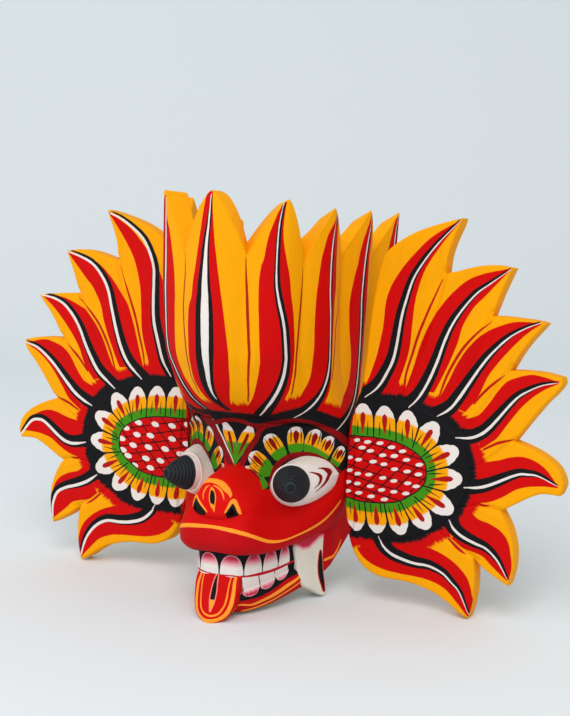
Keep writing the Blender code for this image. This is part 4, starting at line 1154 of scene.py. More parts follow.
CROWN_LEAVES = (
    (((43.4, 252), (41.6, 245.5), (35.6, 229.4), (33.4, 215.4), (32, 210.7), (31.6, 195), (35.1, 160.8),
      (35, 153.1), (33.4, 145.2), (30.8, 138.1), (27.5, 132.5), (20, 125)),
     ((43.9, 250.2), (42.6, 244.5), (40.9, 230.7), (41.3, 205), (43.4, 192.5), (48.2, 176.2),
      (50.9, 160.4), (50.9, 155), (49.5, 148.5), (47.2, 142.6), (43.9, 136.6), (39.1, 130.4),
      (33.1, 124.8), (27.5, 120.8)),
     ((45.2, 252), (43.7, 233), (45.7, 219), (50, 204.6), (52, 194), (54.8, 183.4), (57.1, 167.5),
      (57.5, 159.6), (56.5, 151.6), (51.6, 137), (41.9, 125.2))),
    (((90.8, 240.5), (84.8, 232.5), (80.7, 226.9), (78.3, 219.8), (76.1, 212.7), (73.5, 191),
      (72.9, 173.9), (72.9, 158), (68.7, 143.5), (60.6, 134.1), (50, 126)),
     ((90.3, 238.7), (87.4, 231.5), (85.1, 217), (84.9, 195.1), (86.5, 178), (87.6, 156.4), (86.6, 148.2),
      (84.4, 141.8), (80.6, 136), (75.4, 130.9), (68.5, 126.4), (61.1, 122.8), (49.7, 118.4)),
     ((92.8, 235.1), (92.2, 214.1), (92.7, 204.2), (93.3, 194.3), (91.5, 188), (91.2, 177.5),
      (90.8, 156.1), (88.5, 140), (85, 132), (79, 126), (70, 121))),
    (((131.6, 239), (129.4, 234.5), (124.5, 222), (122.4, 214.5), (121, 207), (118.9, 199.5),
      (116.2, 184), (116.8, 169.1), (119.1, 152.2), (119.1, 143.9), (117.5, 136.9), (114.5, 131.7),
      (110.2, 127.8), (100, 120)),
     ((131.7, 236), (129.6, 227.9), (127.3, 214.3), (125.9, 199.1), (125.8, 184.9), (126.8, 173.7),
      (128.1, 151.3), (128, 140), (127, 131.7), (124.3, 123.7), (120.2, 118.7), (112.7, 114.2),
      (102.1, 111.1), (89.1, 107.2)),
     ((133.6, 232), (133.2, 221.5), (131, 214.1), (130.2, 206.5), (130.6, 191.1), (133.5, 178.4),
      (135, 150), (134, 138), (131, 126), (124, 117))),
    (((167, 234.5), (164.5, 226), (158.9, 199.5), (156.2, 184), (156.8, 169.1), (159.1, 152.2),
      (157.5, 136.9), (150, 126)),
     ((169.5, 236), (168, 229), (167, 217), (166, 185), (167.6, 162.5), (168.2, 145), (167, 132),
      (160, 119), (150, 112), (134, 109)),
     ((174, 236), (174, 185), (174, 150), (170, 125), (160, 112))),
)
LEFT_FIRST_LEAF = (
    ((42.8, 246), (42.8, 241.8), (39.5, 234.7), (36.2, 227.6), (32, 210.9), (30.5, 201.4), (29.9, 191.8),
     (30.2, 185.3), (29.9, 165.2), (29.2, 155.1), (27.6, 148), (23.5, 140.5), (12, 128.5), (8, 124)),
    ((42.8, 250), (41.3, 218), (41.2, 198), (41.7, 178), (40.9, 162), (36, 147), (28.2, 133.8),
     (20.4, 123.1)),
    ((46, 250), (47, 232), (49.5, 215), (51.5, 198), (52.5, 180), (52, 162), (48, 145), (41, 132),
     (32, 122)),
)
CROWN_WHITES = (
    (0.15, 0.35, 0.4, 0.55, 0.8, 0.95, 1, 0.9, 0.3),
    (0.15, 0.5, 0.55, 0.55, 0.6, 0.8, 0.6, 0.2),
    (0.15, 0.5, 0.5, 0.5, 0.55, 0.7, 0.5, 0.2),
    (0.15, 0.5, 0.5, 0.5, 0.5, 0.5, 0.2),
)
CROWN_BANDS = (
    (0.8, 1.4, 1.7, 2.4, 3.1, 3.2, 3.4, 4.2), (0.7, 1.3, 1.6, 2, 2.3, 3, 4, 5), (0.7, 1.3, 1.6, 2, 2.3, 3,
     4, 5), (0.7, 1.3, 1.6, 2, 2.3, 3, 4),
)
LEFT_FIRST_WHITE = (0.3, 0.7, 0.9, 1, 1, 0.9, 0.7, 0.4)
VALLEY_LINES = (
    ((22.3, 216.9), (23.6, 203.5), (28.1, 168.3), (29, 158.4), (27.2, 139.8), (24.8, 131.3)),
    ((61.5, 209.1), (61.9, 196.6), (60.6, 177.6), (58.9, 154.1), (54.6, 138.9), (52.7, 134.5)),
    ((107, 205), (105, 195), (101, 182), (96.4, 171.4), (95.5, 160.7), (93.3, 150.1), (90, 139.4)),
    ((148, 205), (146, 190), (139, 158), (135, 142)),
)
LEFT_FIRST_VALLEY = (
    (21.6, 217), (20.4, 205.4), (21.6, 192.4), (21.9, 185.9), (20.1, 176.2), (17.7, 166.5), (16.2, 156.6),
    (16.2, 146.1), (14.3, 140.9), (13.1, 135.4),
)
VALLEY_WIDTHS = (0.2, 0.8, 0.95, 0.85, 0.75, 0.5)
BAND_TOP = (
    (0, 123.5), (15, 123), (28.6, 122.2), (34.2, 121.8), (44.7, 124.5), (54, 126), (61, 125.5),
    (75, 121.5), (90, 117), (105, 114), (172, 111),
)


print("leaves on half the crown:", len(CROWN_LEAVES), "and valleys:", len(VALLEY_LINES))


def stretched(at, side, petal):
    """Points of the left half, mirrored and with their heights brought to the right petal's."""
    tall, short = TIPS[-1][petal] - CROWN_SPLIT, TIPS[1][petal] - CROWN_SPLIT
    above = np.maximum(at[:, 1] - CROWN_SPLIT, 0.0)
    drop = above * (1.0 - short / tall) if side < 0 else 0.0
    return np.stack([at[:, 0] * side, at[:, 1] - drop], axis=1)


def crown_fields(at):
    """The leaves, bands, white lines and valley lines of the whole crown, point by point."""
    red, black = [patch(at, between(*MIDDLE_RED))], [patch(at, between(*MIDDLE_BLACK))]
    thin = {"white": [(at, MIDDLE_WHITE)], "valley": []}
    for side in (1, -1):
        for n, (inner, line, outer) in enumerate(CROWN_LEAVES):
            white, band, here = CROWN_WHITES[n], CROWN_BANDS[n], stretched(at, side, n + 1)
            if side < 0 and n == 0:
                (inner, line, outer), white, here = LEFT_FIRST_LEAF, LEFT_FIRST_WHITE, at * (-1, 1)
            red.append(patch(here, between(inner, outer)))
            black.append(stroke(here, smooth(beside(line, 0.4)), band))
            thin["white"].append((here, (line, white)))
            valley = LEFT_FIRST_VALLEY if side < 0 and n == 0 else VALLEY_LINES[n]
            thin["valley"].append((stretched(at, side, n + 1), (valley, VALLEY_WIDTHS)))
    fields = {"red": most_inside(red), "black": most_inside(black)}
    for name, parts in thin.items():
        made = [brush_lines(here, [line]) for here, line in parts]
        nearest = np.argmax([half - np.abs(across) for across, half in made], axis=0)
        fields[name + "_across"], fields[name + "_half"] = (
            np.take_along_axis(np.array([m[k] for m in made]), nearest[None], axis=0)[0] for k in (0, 1)
        )
    fields["band"] = np.interp(np.abs(at[:, 0]), *np.transpose(BAND_TOP)) - at[:, 1]
    return fields


# %% [markdown]
# ## What the brush drew on the face
# Over the red face go black fields round the eyes and between the brows, with petals in them like
# the ears' petals, then the dark brow ridge. These are drawn as seen from the front. The mouth is
# drawn along the lips: across is the way round from the middle, up is the way up the carving lines.

# %% The brow and the eyes
BROW_RIDGE = (
    (0, 115.8), (6, 115.4), (11, 113.6), (16, 112.9), (23, 114.3), (28.7, 115.6), (35.2, 116.2),
    (40.2, 114.5), (44.5, 111.2), (49.5, 106.9), (52.8, 102.8), (54.6, 98.5),
)
BROW_WIDTHS = (1.3, 1.4, 1.9, 1.7, 1.7, 1.6, 1.5, 1.2)
WEDGE = (
    (-14.5, 114.4), (-10.7, 115), (-5.7, 115), (0.6, 114.6), (6.9, 113.9), (14.2, 112.4), (11.9, 107.2),
    (9.4, 103.1), (5.3, 95.7), (2.7, 89.8), (-0.3, 87.6), (-3.1, 93), (-7.6, 99.1), (-10.5, 103.7),
    (-13.4, 108.5),
)
WEDGE_LINE = ((-14.8, 114.3), (-13.4, 108.5), (-10.5, 103.7), (-7.6, 99.1), (-3.1, 93), (-0.8, 89))
LEFT_RIM = (
    (-30, 114), (-25, 109.5), (-20, 103.5), (-14.5, 96.5), (-8.5, 90.5), (-4.5, 86.5), (-0.5, 87.5),
    (-3.1, 93), (-7.6, 99.1), (-10.5, 103.7), (-13.4, 108.5), (-14.5, 114.4), (-20, 117),
)
RIGHT_RIM = ((15.5, 112), (14.5, 109.4), (11.6, 103.7), (8, 98.7), (4.9, 91.8), (3.6, 87.5))
WEDGE_PETALS = (
    ((-0.4, 88.5), (-1.6, 95), (-3.4, 102), (-5.9, 108), (-7, 111.8)),
    ((-0.1, 88.5), (2.2, 95.6), (5.6, 102.5), (7.9, 107), (9.4, 110.8)),
)
WEDGE_PETAL_WIDTHS = (0.6, 1.6, 2.9, 3.9, 4, 2.2)
WEDGE_DROPS = (
    ((-1.3, 94), (-2.6, 99), (-4.4, 105), (-5.2, 107.5)),
    ((2, 94.5), (4.2, 99.5), (6.6, 104.5), (7.6, 107)),
)
SOCKET = (
    (5.4, 87.5), (6.4, 91.2), (9.6, 98), (13.1, 103.2), (16.5, 110), (22, 112.8), (28.5, 114.5),
    (35, 115), (40, 113.3), (45, 109.8), (49.5, 105.5), (53, 100), (56, 92), (56, 84), (51.7, 79.5),
    (36, 82), (20, 74), (16.5, 75.5), (12, 79), (8, 83),
)
LEFT_EYE_SHIFT = (3.5, 0.5)
EYE_PETALS = (
    ((16, -36.4, 76.9), (7, -38.8, 86.8)),
    ((16.9, -32.1, 85), (9.6, -37, 95)),
    ((23.9, -28.8, 94.9), (18.7, -33.5, 106)),
    ((32.2, -22.8, 98.4), (33, -25, 110.5)),
    ((39.4, -16.4, 96.8), (42.6, -16.3, 107.7)),
    ((45.3, -10.6, 93.2), (48.7, -8.4, 102.6)),
    ((50.6, -4.4, 87.5), (53.2, -0.6, 95.2)),
)
EYE_PETAL_WIDTHS = (4.2, 4.8, 5.1, 5.1, 4.4, 1.3)
PETAL_SQUEEZE = (0.8, 0.95, 1, 1, 0.98, 0.9, 0.8)
GREEN_BORDER = (
    (13, 78), (13.7, 87.1), (18, 93), (23.2, 97.9), (31.2, 101), (39.4, 99.3), (46, 93.7), (50.9, 88.4),
    (54.5, 82), (50, 70), (20, 66),
)
YELLOW_BORDER = (
    (7.5, 79), (8.8, 90.5), (13.2, 98.8), (20, 105), (32, 108.2), (42, 105.6), (48.8, 99.2), (53.4, 92.4),
    (58, 82), (50, 66), (20, 62),
)
LID_LINE = (
    (18.4, 76.4), (18.5, 78.4), (19.9, 84.5), (23.8, 90.4), (29.5, 94.2), (34.8, 94.8), (40.1, 93.8),
    (46, 89.7), (50.6, 84.6), (53.4, 80.6),
)
CRESCENTS = (
    ((46.8, 86.9), (48.5, 86.2), (50.2, 84.6), (51.4, 82), (51, 79), (49.5, 76), (47, 73)),
    ((44.1, 85.6), (46.4, 84.6), (48.4, 82.9), (49.2, 80.6), (48.6, 77.8), (46.8, 75.4)),
)
LID_WIDTHS = (0.8, 1.4, 1.6, 1.6, 1.6, 1.4, 0.8)
LID_SHIFT = -1
CRESCENT_WIDTHS = (0.2, 0.5, 0.55, 0.45, 0.15)
EYE_DROP_WIDTHS, EYE_LINE_WIDTHS, EYE_LINE_SIDE = (0.4, 0.9, 1.3, 1.4, 0.9), (0.2, 0.32, 0.15), 2.4
WEDGE_DROP_WIDTHS, WEDGE_LINE_WIDTHS = (0.3, 0.8, 1.1, 0.9), (0.8, 0.7, 0.5, 0.2)
RIM_WIDTHS = (1.2, 1.5, 1.5, 1.2)
WEDGE_YELLOW_TOP, WEDGE_GREEN_TOP, FRONT_LIMIT_Y = 108.6, 102.0, 6.0
print("petals round each eye:", len(EYE_PETALS))

# %% The mouth
MOUTH_TOP = ((0, 6.15), (20, 6.25), (40, 6.3), (62, 6))
MOUTH_FOOT = (
    (0, 1.3), (13.4, 1.32), (21.1, 1.27), (28.4, 1.24), (40.7, 1.44), (49.5, 1.67), (57.7, 1.63),
    (62, 1.8),
)
TOOTH_GAPS = (-51, -41, -28, -13.5, 1.6, 16.9, 31, 43.6, 52.8)
LOWER_GAPS = (
    (-52, 1.9), (-41, 1.83), (-28.5, 1.51), (-15.5, 1.55), (-2, 1.5), (15.5, 1.55), (28.1, 1.51),
    (40.7, 1.83), (51.6, 1.9),
)
ARCH_TOP, TOOTH_LINE, GUM_TOP, GUM_FOOT = 4.9, 4.05, 4.45, 2.3
UPPER_STRAIGHT, LOWER_STRAIGHT = 0.1, 0.7
ROW_LINE = (
    (-56, 4.1), (-43, 4.07), (-30, 4.04), (-13.4, 4.1), (-0.9, 4.02), (9.1, 4.06), (16.9, 4),
    (30.1, 4.04), (43.3, 4.07), (55.6, 4.1),
)
ROW_WIDTHS = (0.9, 1.2, 1.2, 0.6, 0.4, 0.4, 0.6, 1.2, 1.2, 0.9)
LIP_LINE = (
    (0, 8.13), (14.5, 8.06), (24.3, 7.97), (34.5, 8.06), (46.4, 8), (57.1, 7.64), (68.2, 7.35),
    (80.1, 7.25), (90.2, 7.39), (101.6, 7.75),
)
LIP_WIDTHS = (1, 1.2, 1.2, 1.1, 1.2, 1.2, 1, 0.8, 0.5)
LOW_ORANGE = (
    (11, 0.9), (15, 0.93), (20.3, 0.66), (27.5, 0.76), (39.5, 0.95), (48, 1.12), (56.3, 1.24), (62, 1.5),
)
LOWEST_ORANGE = ((13, 0.12), (26, 0.2), (40, 0.42), (53.6, 0.66), (64, 1))
LOW_WIDTHS, LOWEST_WIDTHS = (0.5, 1.1, 1.2, 1.2, 0.7), (0.5, 0.8, 0.8, 0.4)
CHEEK_LINE = ((-3, 23.6), (1, 23.9), (5.6, 24.3), (9.5, 27.5), (13, 33))
CHEEK_WIDTHS = (0.8, 0.9, 0.8, 0.5)
CHEEK_SIDE_X = 38
SHARP, MOUTH_LIMIT_Z = 6.0, 58.0
print("upper teeth:", len(TOOTH_GAPS) - 1, "and lower:", len(LOWER_GAPS) - 1)


def lip_chart(points, row_mm):
    """Points given by the way round and the line number, with the height in millimetres instead."""
    way, line = np.transpose(points)
    return np.stack([way, np.interp(line, wall_rows, row_mm)], axis=1)


def tooth(low, high, foot, top, straight):
    """Half an ellipse from low to high, on sides that stay straight for a share of the height."""
    turn = np.linspace(0.0, math.pi, 15)
    half = (high - low) / 2 - 0.4
    way = (low + high) / 2 + half * np.sign(np.cos(turn)) * np.abs(np.cos(turn)) ** 0.95
    arch = np.stack([way, foot + (top - foot) * (straight + (1 - straight) * np.sin(turn) ** 0.9)], axis=1)
    return np.concatenate([[(high - 0.4, foot)], arch, [(low + 0.4, foot)]])


def brow_fields(seen, mirrored, front):
    """The dark ridge, the wedge between the brows with its two petals, and the rims beside it."""
    wedge = patch(seen, rounded(WEDGE, 3))
    petals = most_inside(stroke(seen, axis, WEDGE_PETAL_WIDTHS) for axis in WEDGE_PETALS)
    petals = np.minimum(petals, wedge + 0.4)
    drops = [(line, WEDGE_DROP_WIDTHS) for line in WEDGE_DROPS]
    return {
        "face": np.interp(mirrored[:, 0], *np.transpose(BROW_RIDGE)) - seen[:, 1],
        "wedge": np.minimum(wedge, front),
        "wedge_petals": petals,
        "wedge_yellow": np.minimum(SHARP * petals, WEDGE_YELLOW_TOP - seen[:, 1]),
        "wedge_green": np.minimum(SHARP * petals, WEDGE_GREEN_TOP - seen[:, 1]),
        "left_rim": np.minimum(patch(seen, rounded(LEFT_RIM, 3)), front),
        **line_fields("ridge", mirrored, [(BROW_RIDGE, BROW_WIDTHS)], front > 0),
        **line_fields("rim", seen, [(RIGHT_RIM, RIM_WIDTHS)], front > 0),
        **line_fields("wedge_line", seen, [(WEDGE_LINE, WEDGE_LINE_WIDTHS)], front > 0),
        **line_fields("wedge_drops", seen, drops, front > 0),
    }


def eye_surround_fields(points, eye, front):
    """The black socket, the lid, and petals taken in space, because they turn round the eye."""
    deep = np.stack([eye[:, 0], points[:, 1], eye[:, 1]], axis=1)
    axes = [np.linspace(start, end, 5) for start, end in np.array(EYE_PETALS)]
    widths = [np.array(EYE_PETAL_WIDTHS) * squeeze for squeeze in PETAL_SQUEEZE]
    petals = most_inside(stroke(deep, axis, width) for axis, width in zip(axes, widths))
    petals = np.minimum(petals, front)
    drops, fine = [], []
    for axis, squeeze in zip(axes, PETAL_SQUEEZE):
        flat = axis[:, [0, 2]]
        drop = flat[0] + (flat[-1] - flat[0]) * np.linspace(0.2, 0.85, 5)[:, None]
        drops.append((drop, np.array(EYE_DROP_WIDTHS) * squeeze))
        for side in (-1, 1):
            fine.append((beside(flat[1:], side * EYE_LINE_SIDE * squeeze**2), EYE_LINE_WIDTHS))
    return {
        "socket": np.minimum(patch(eye, rounded(SOCKET, 3)), front),
        "eye_petals": petals,
        "eye_yellow": np.minimum(SHARP * petals, patch(eye, rounded(YELLOW_BORDER, 3), 20.0)),
        "eye_green": np.minimum(SHARP * (petals + 0.5), patch(eye, rounded(GREEN_BORDER, 3), 20.0)),
        **line_fields("eye_drops", eye, drops, front > 0),
        **line_fields("eye_fine", eye, fine, front > 0),
        **line_fields("lid", eye, [(beside(LID_LINE, LID_SHIFT), LID_WIDTHS)], front > 0),
    }


def mouth_fields(lips, row_mm, ahead, front):
    """The black mouth, two rows of teeth with their gums, the upper lip and the orange lines."""

    def chart(points):
        return lip_chart(points, row_mm)

    way = np.linspace(-62.0, 62.0, 50)
    edges = [np.interp(np.abs(way), *np.transpose(line)) for line in (MOUTH_TOP, MOUTH_FOOT)]
    mouth_top, mouth_foot = (chart(np.stack([way, edge], axis=1)) for edge in edges)
    marks = (TOOTH_LINE, ARCH_TOP, GUM_FOOT, GUM_TOP)
    row, top, foot_gum, top_gum = np.interp(marks, wall_rows, row_mm)
    pairs = zip(TOOTH_GAPS, TOOTH_GAPS[1:])
    upper = most_inside(patch(lips, tooth(a, b, row, top, UPPER_STRAIGHT)) for a, b in pairs)
    gaps = chart(LOWER_GAPS)
    feet = (gaps[1:, 1] + gaps[:-1, 1]) / 2
    teeth = zip(gaps[:-1, 0], gaps[1:, 0], feet)
    lower = most_inside(patch(lips, tooth(a, b, row, foot, LOWER_STRAIGHT)) for a, b, foot in teeth)
    lip = chart(np.concatenate([np.array(LIP_LINE[:0:-1]) * (-1, 1), LIP_LINE]))
    low = [(chart(np.array(LOW_ORANGE) * (side, 1)), LOW_WIDTHS) for side in (1, -1)]
    lowest = [(chart(np.array(LOWEST_ORANGE) * (side, 1)), LOWEST_WIDTHS) for side in (1, -1)]
    return {
        "mouth": np.minimum(patch(lips, np.concatenate([mouth_top, mouth_foot[::-1]])), ahead),
        "upper_teeth": np.minimum(upper, ahead),
        "upper_gum": np.minimum(np.minimum(SHARP * upper, lips[:, 1] - top_gum), ahead),
        "lower_teeth": np.minimum(lower, ahead),
        "lower_gum": np.minimum(np.minimum(SHARP * lower, foot_gum - lips[:, 1]), ahead),
        "lip": np.minimum(np.interp(np.abs(lips[:, 0]), *chart(LIP_LINE).T) - lips[:, 1], ahead),
        **line_fields("row", lips, [(chart(ROW_LINE), ROW_WIDTHS)], front > 0),
        **line_fields("orange", lips, [(lip, (*LIP_WIDTHS[:0:-1], *LIP_WIDTHS))], front > 0),
        **line_fields("low", lips, low, front > 0),
        **line_fields("lowest", lips, lowest, front > 0),
    }


def face_fields(points, lips, row_mm):
    """Brow and eyes as seen from the front, the cheeks' lines from the side, the mouth on the lips."""
    front = FRONT_LIMIT_Y - points[:, 1]
    seen = points[:, [0, 2]]
    left = seen[:, :1] < 0
    mirrored = seen * np.where(left, (-1, 1), 1)
    ahead = np.minimum(front, MOUTH_LIMIT_Z - points[:, 2])
    cheeks = mirrored[:, 0] > CHEEK_SIDE_X
    return {
        **brow_fields(seen, mirrored, front),
        **eye_surround_fields(points, mirrored - np.where(left, LEFT_EYE_SHIFT, 0.0), front),
        **mouth_fields(lips, row_mm, ahead, front),
        **line_fields("cheek", points[:, 1:], [(CHEEK_LINE, CHEEK_WIDTHS)], cheeks),
    }


# %% The head's paint on its points
INSIDE_PAINT, CLIMB_AT = 27.0, 0.7


def shell_fields():
    """The fields on the outside's rows, carried over the eased edge, with no stroke on the inside."""
    run = np.array([travelled(row) for row in outside])
    run -= run[:, outside.shape[1] // 2][:, None]
    climb = travelled(outside[:, np.searchsorted(place, CLIMB_AT)])
    flat = outside.reshape(-1, 3)
    unrolled_at = np.stack([np.broadcast_to(unrolled, outside.shape[:2]).ravel(), flat[:, 2]], axis=1)
    lips = np.stack([run.ravel(), np.repeat(climb, outside.shape[1])], axis=1)
    fields = {**crown_fields(unrolled_at), **face_fields(flat, lips, climb[: len(wall_rows)])}
    extra = len(shell) - OUTSIDE_ROWS
    made = {}
    for name, values in fields.items():
        values = values.reshape(outside.shape[:2])
        over = [values[-1:]] * 3 + [np.full_like(values[-1:], FAR_OUTSIDE)] * (extra - 2)
        made[name] = np.concatenate([values[:-1], *over]).ravel()
    painted_depth = INSIDE_PAINT - (outside[-1][:, 2] - shell[..., 2])
    painted_depth[: OUTSIDE_ROWS + len(EASE_STEPS) + 2] = -FAR_OUTSIDE
    made["painted"] = painted_depth.ravel()
    around = np.broadcast_to(unrolled, shell.shape[:2])
    made["brush"] = np.stack([around, shell[..., 2], 0 * around], axis=-1).reshape(-1, 3)
    return made


head_paint_fields = shell_fields()
keep(head_shell, head_paint_fields, corners=True)
print("fields of the head:", len(head_paint_fields))

# %% [markdown]
# ## What the brush drew on the nose, tongue, tusks and eyes
# Each of these is painted as it is seen: the nose and tongue from the front, the tusks from the
# side. Only the near face gets the fine strokes.

# %% The strokes of the parts that stand out
NOSE_ARCH = (
    (-11.8, 75.7), (-10.3, 79.8), (-7.4, 82.4), (-3.6, 83.9), (0.9, 84.1), (5.2, 82.7), (10.1, 77.4),
    (10.9, 75.5),
)
NOSE_TULIP = (
    ((-1.5, 82.1), (-4.1, 79.9), (-5.5, 76.5), (-5, 72.9)),
    ((0.6, 82.2), (4.2, 80.8), (6.8, 77.7), (8.1, 74.1)),
)
NOSE_LEAF = (
    (0.4, 80.8), (-0.6, 77.8), (-0.7, 74.3), (0.3, 70.6), (1.4, 66.8), (1.9, 66.8), (2.4, 71),
    (2.8, 74.8), (2, 78),
)
NOSTRIL_LINES = (
    ((8.8, 66.4), (10.8, 70.4), (12.4, 73.6), (14.7, 69.5), (16.4, 63.5)),
    ((-2.5, 66), (-8.2, 71.4), (-12.2, 74), (-14.7, 69.5), (-16.5, 64)),
)
NOSTRIL_LEAVES = (
    ((12.4, 73), (10.8, 70), (8.9, 66), (9.2, 62.5), (16, 62.5), (14.6, 69)),
    ((-12.2, 73.4), (-8.4, 71), (-3.5, 66), (-4.5, 63), (-16, 63), (-14.5, 69)),
)
TONGUE_OUTER = (
    (-10.9, 26.5), (-11.8, 18.4), (-11.4, 10), (-9, 4.4), (-4.5, 1.7), (0, 1.1), (4.8, 1.8), (9.2, 4.6),
    (11.6, 10), (12.2, 18.2), (11.8, 26.5),
)
TONGUE_INNER = (
    (-8.9, 26.5), (-7.7, 11), (-5.1, 6), (0, 4.1), (4.9, 5), (7.4, 8), (8.9, 13.1), (9.4, 26.5),
)
TONGUE_LEAF = (
    (0.3, 27), (-0.5, 20.4), (-1, 15.2), (-0.8, 11.1), (0.4, 6.5), (1.6, 10.4), (2.3, 15.5), (2.2, 20.6),
    (1, 27),
)
TUSK_LEAF = ((-7.2, 31), (-7.3, 24), (-6.8, 16), (-5.2, 8.5), (-4.2, 4))
TUSK_GUM = (
    (-27, 38.5), (-24.5, 38.5), (-20.8, 35.8), (-15.9, 35.2), (-12.2, 37.7), (-8.4, 40.5), (-3, 41),
)
ARCH_WIDTHS, NOSTRIL_WIDTHS = (0.4, 1, 1, 0.9, 1.1, 1.1, 0.4), (0.4, 0.75, 0.8, 0.75, 0.5)
TULIP_WIDTHS, TUSK_LEAF_WIDTHS = (0.15, 0.4, 0.4, 0.15), (0.2, 1.3, 1.6, 1.2, 0.2)
OUTER_WIDTHS, INNER_WIDTHS = (0.7, 1.1, 1.1, 1.1, 0.7), (0.3, 0.45, 0.5, 0.45, 0.3)
FRONT_Y, LEAF_TIP_Z, TUSK_SIDE_X = -60.0, 12.5, 30.0
BLACK_STARTS, RIM_TOP, RIM_WIDTH = (3.6, 0.6), 74, 0.35
print("points of the nose's arch:", len(NOSE_ARCH))


# %% Their fields
def points_of(piece):
    """The piece's points in millimetres."""
    points = np.empty(3 * len(piece.data.vertices))
    piece.data.vertices.foreach_get("co", points)
    return points.reshape(-1, 3) / MM


def nose_fields(points):
    """The orange arch, the tulip under it, the leaf on the ridge and the nostrils' edges."""
    at, near = points[:, [0, 2]], points[:, 1] < FRONT_Y
    leaves = most_inside(patch(at, leaf) for leaf in NOSTRIL_LEAVES)
    orange = [(NOSE_ARCH, ARCH_WIDTHS)] + [(line, NOSTRIL_WIDTHS) for line in NOSTRIL_LINES]
    return {
        "leaf": np.where(near, patch(at, rounded(NOSE_LEAF, 3)), FAR_OUTSIDE),
        "nostrils": np.where(near, leaves, FAR_OUTSIDE),
        **line_fields("orange", at, orange, near),
        **line_fields("tulip", at, [(line, TULIP_WIDTHS) for line in NOSE_TULIP], near),
    }


def tongue_fields(points):
    """Two orange lines round the tongue and the leaf down its middle."""
    at, near = points[:, [0, 2]], points[:, 1] < FRONT_Y
    leaf = np.where(near, patch(at, rounded(TONGUE_LEAF, 3)), FAR_OUTSIDE)
    return {
        "leaf": leaf,
        "leaf_tip": np.minimum(leaf, LEAF_TIP_Z - points[:, 2]),
        **line_fields("outer", at, [(TONGUE_OUTER, OUTER_WIDTHS)], near),
        **line_fields("inner", at, [(TONGUE_INNER, INNER_WIDTHS)], near),
    }


def tusk_fields(points):
    """The red gum with a ragged edge, and the dark leaf near the back edge."""
    at, outer = points[:, 1:], np.abs(points[:, 0]) > TUSK_SIDE_X
    return {
        "gum": at[:, 1] - np.interp(at[:, 0], *np.transpose(TUSK_GUM)),
        **line_fields("leaf", at, [(TUSK_LEAF, TUSK_LEAF_WIDTHS)], outer),
    }


def eye_fields(points):
    """The two crescents at the eye's outer corner and the white's pink edge."""
    at = np.stack([np.abs(points[:, 0]), points[:, 2]], axis=1)
    fields = {}
    for name, line in zip(("outer", "inner"), CRESCENTS):
        fields.update(line_fields(name, at, [(line, CRESCENT_WIDTHS)]))
    low = np.minimum(RIM_TOP - points[:, 2], 9.0 * points[:, 0])
    fields["rim"] = np.minimum(RIM_WIDTH - patch(at, rounded(EYE_OUTLINE, 4), 40.0), low)
    return fields


def pupil_fields(points):
    """The way along the axis, for the painted highlight's rings, and how far from where the black starts."""
    base = PUPIL_BASE * np.where(points[:, :1] < 0, (-1, 1, 1), 1)
    axis = PUPIL_AXIS * np.where(points[:, :1] < 0, (-1, 1, 1), 1)
    start = np.where(points[:, 0] < 0, *BLACK_STARTS)
    along = ((points - base) * axis).sum(axis=1)
    return {"foot": start - along, "along": along, "peg": along - start}


PARTS_FIELDS = {
    "nose": nose_fields, "tongue": tongue_fields, "tusk": tusk_fields, "eyeball": eye_fields,
    "pupil": pupil_fields,
}
print("kinds of part with strokes:", sorted(PARTS_FIELDS))

# %% [markdown]
# ## The paints
# The real colours are an opaque water paint, laid on by hand with hair brushes. It dries matt, keeps
# the streaks of the hairs, goes on slightly uneven, and lets what lies under it show where the brush
# ran dry. A painted image would blur close up, so each coat is laid over the ones before it wherever
# its distance is above nothing, in the order in which the painter worked.

# %% Colours
YELLOW, RED, DARK_RED, BLACK = "F0A000", "C80404", "820C10", "141417"
WHITE, GREEN, ORANGE, PINK = "E2DAD4", "3F8A12", "FF9A2E", "FF8C78"
GUM_PINK, GUM_RED, TOOTH_RED, DEEP_ORANGE = "E58A98", "C4304A", "B8102A", "A61E0C"
NOSE_RED, LIP_RED, NOTCH_RED, DROP_RED, HATCH_RED = "D80C08", "B90710", "B81408", "A8140E", "45090C"
# The pupil's ring colour is a painted highlight: lighter rings for the light on the knife's carved rings
IVORY, EYE_PINK, PEG_BLACK, PEG_RING_HIGHLIGHT, NOSTRIL_DARK = "DCD8CC", "F0B0A8", "1C2023", "33393D", "2A0A0C"
BARE_WOOD, WOOD_GRAIN, TABLE_WHITE = "D9B98A", "B98F5C", "E0E7EA"


def linear(code):
    """Colour of an sRGB code such as EB9D05, in linear light."""
    parts = np.array([int(code[n : n + 2], 16) for n in (0, 2, 4)]) / 255
    return (*np.where(parts <= 0.04045, parts / 12.92, ((parts + 0.055) / 1.055) ** 2.4), 1.0)


print("the red in linear light:", [round(part, 3) for part in linear(RED)])


def add(tree, kind, inputs=(), out=0, **settings):
    """One node with its settings and its inputs, plain values or links; gives one output."""
    node = tree.nodes.new("ShaderNode" + kind)
    for name, value in settings.items():
        setattr(node, name, value)
    for key, value in inputs.items() if isinstance(inputs, dict) else enumerate(inputs):
        if isinstance(value, bpy.types.NodeSocket):
            tree.links.new(value, node.inputs[key])
        else:
            node.inputs[key].default_value = value
    return node.outputs[out]


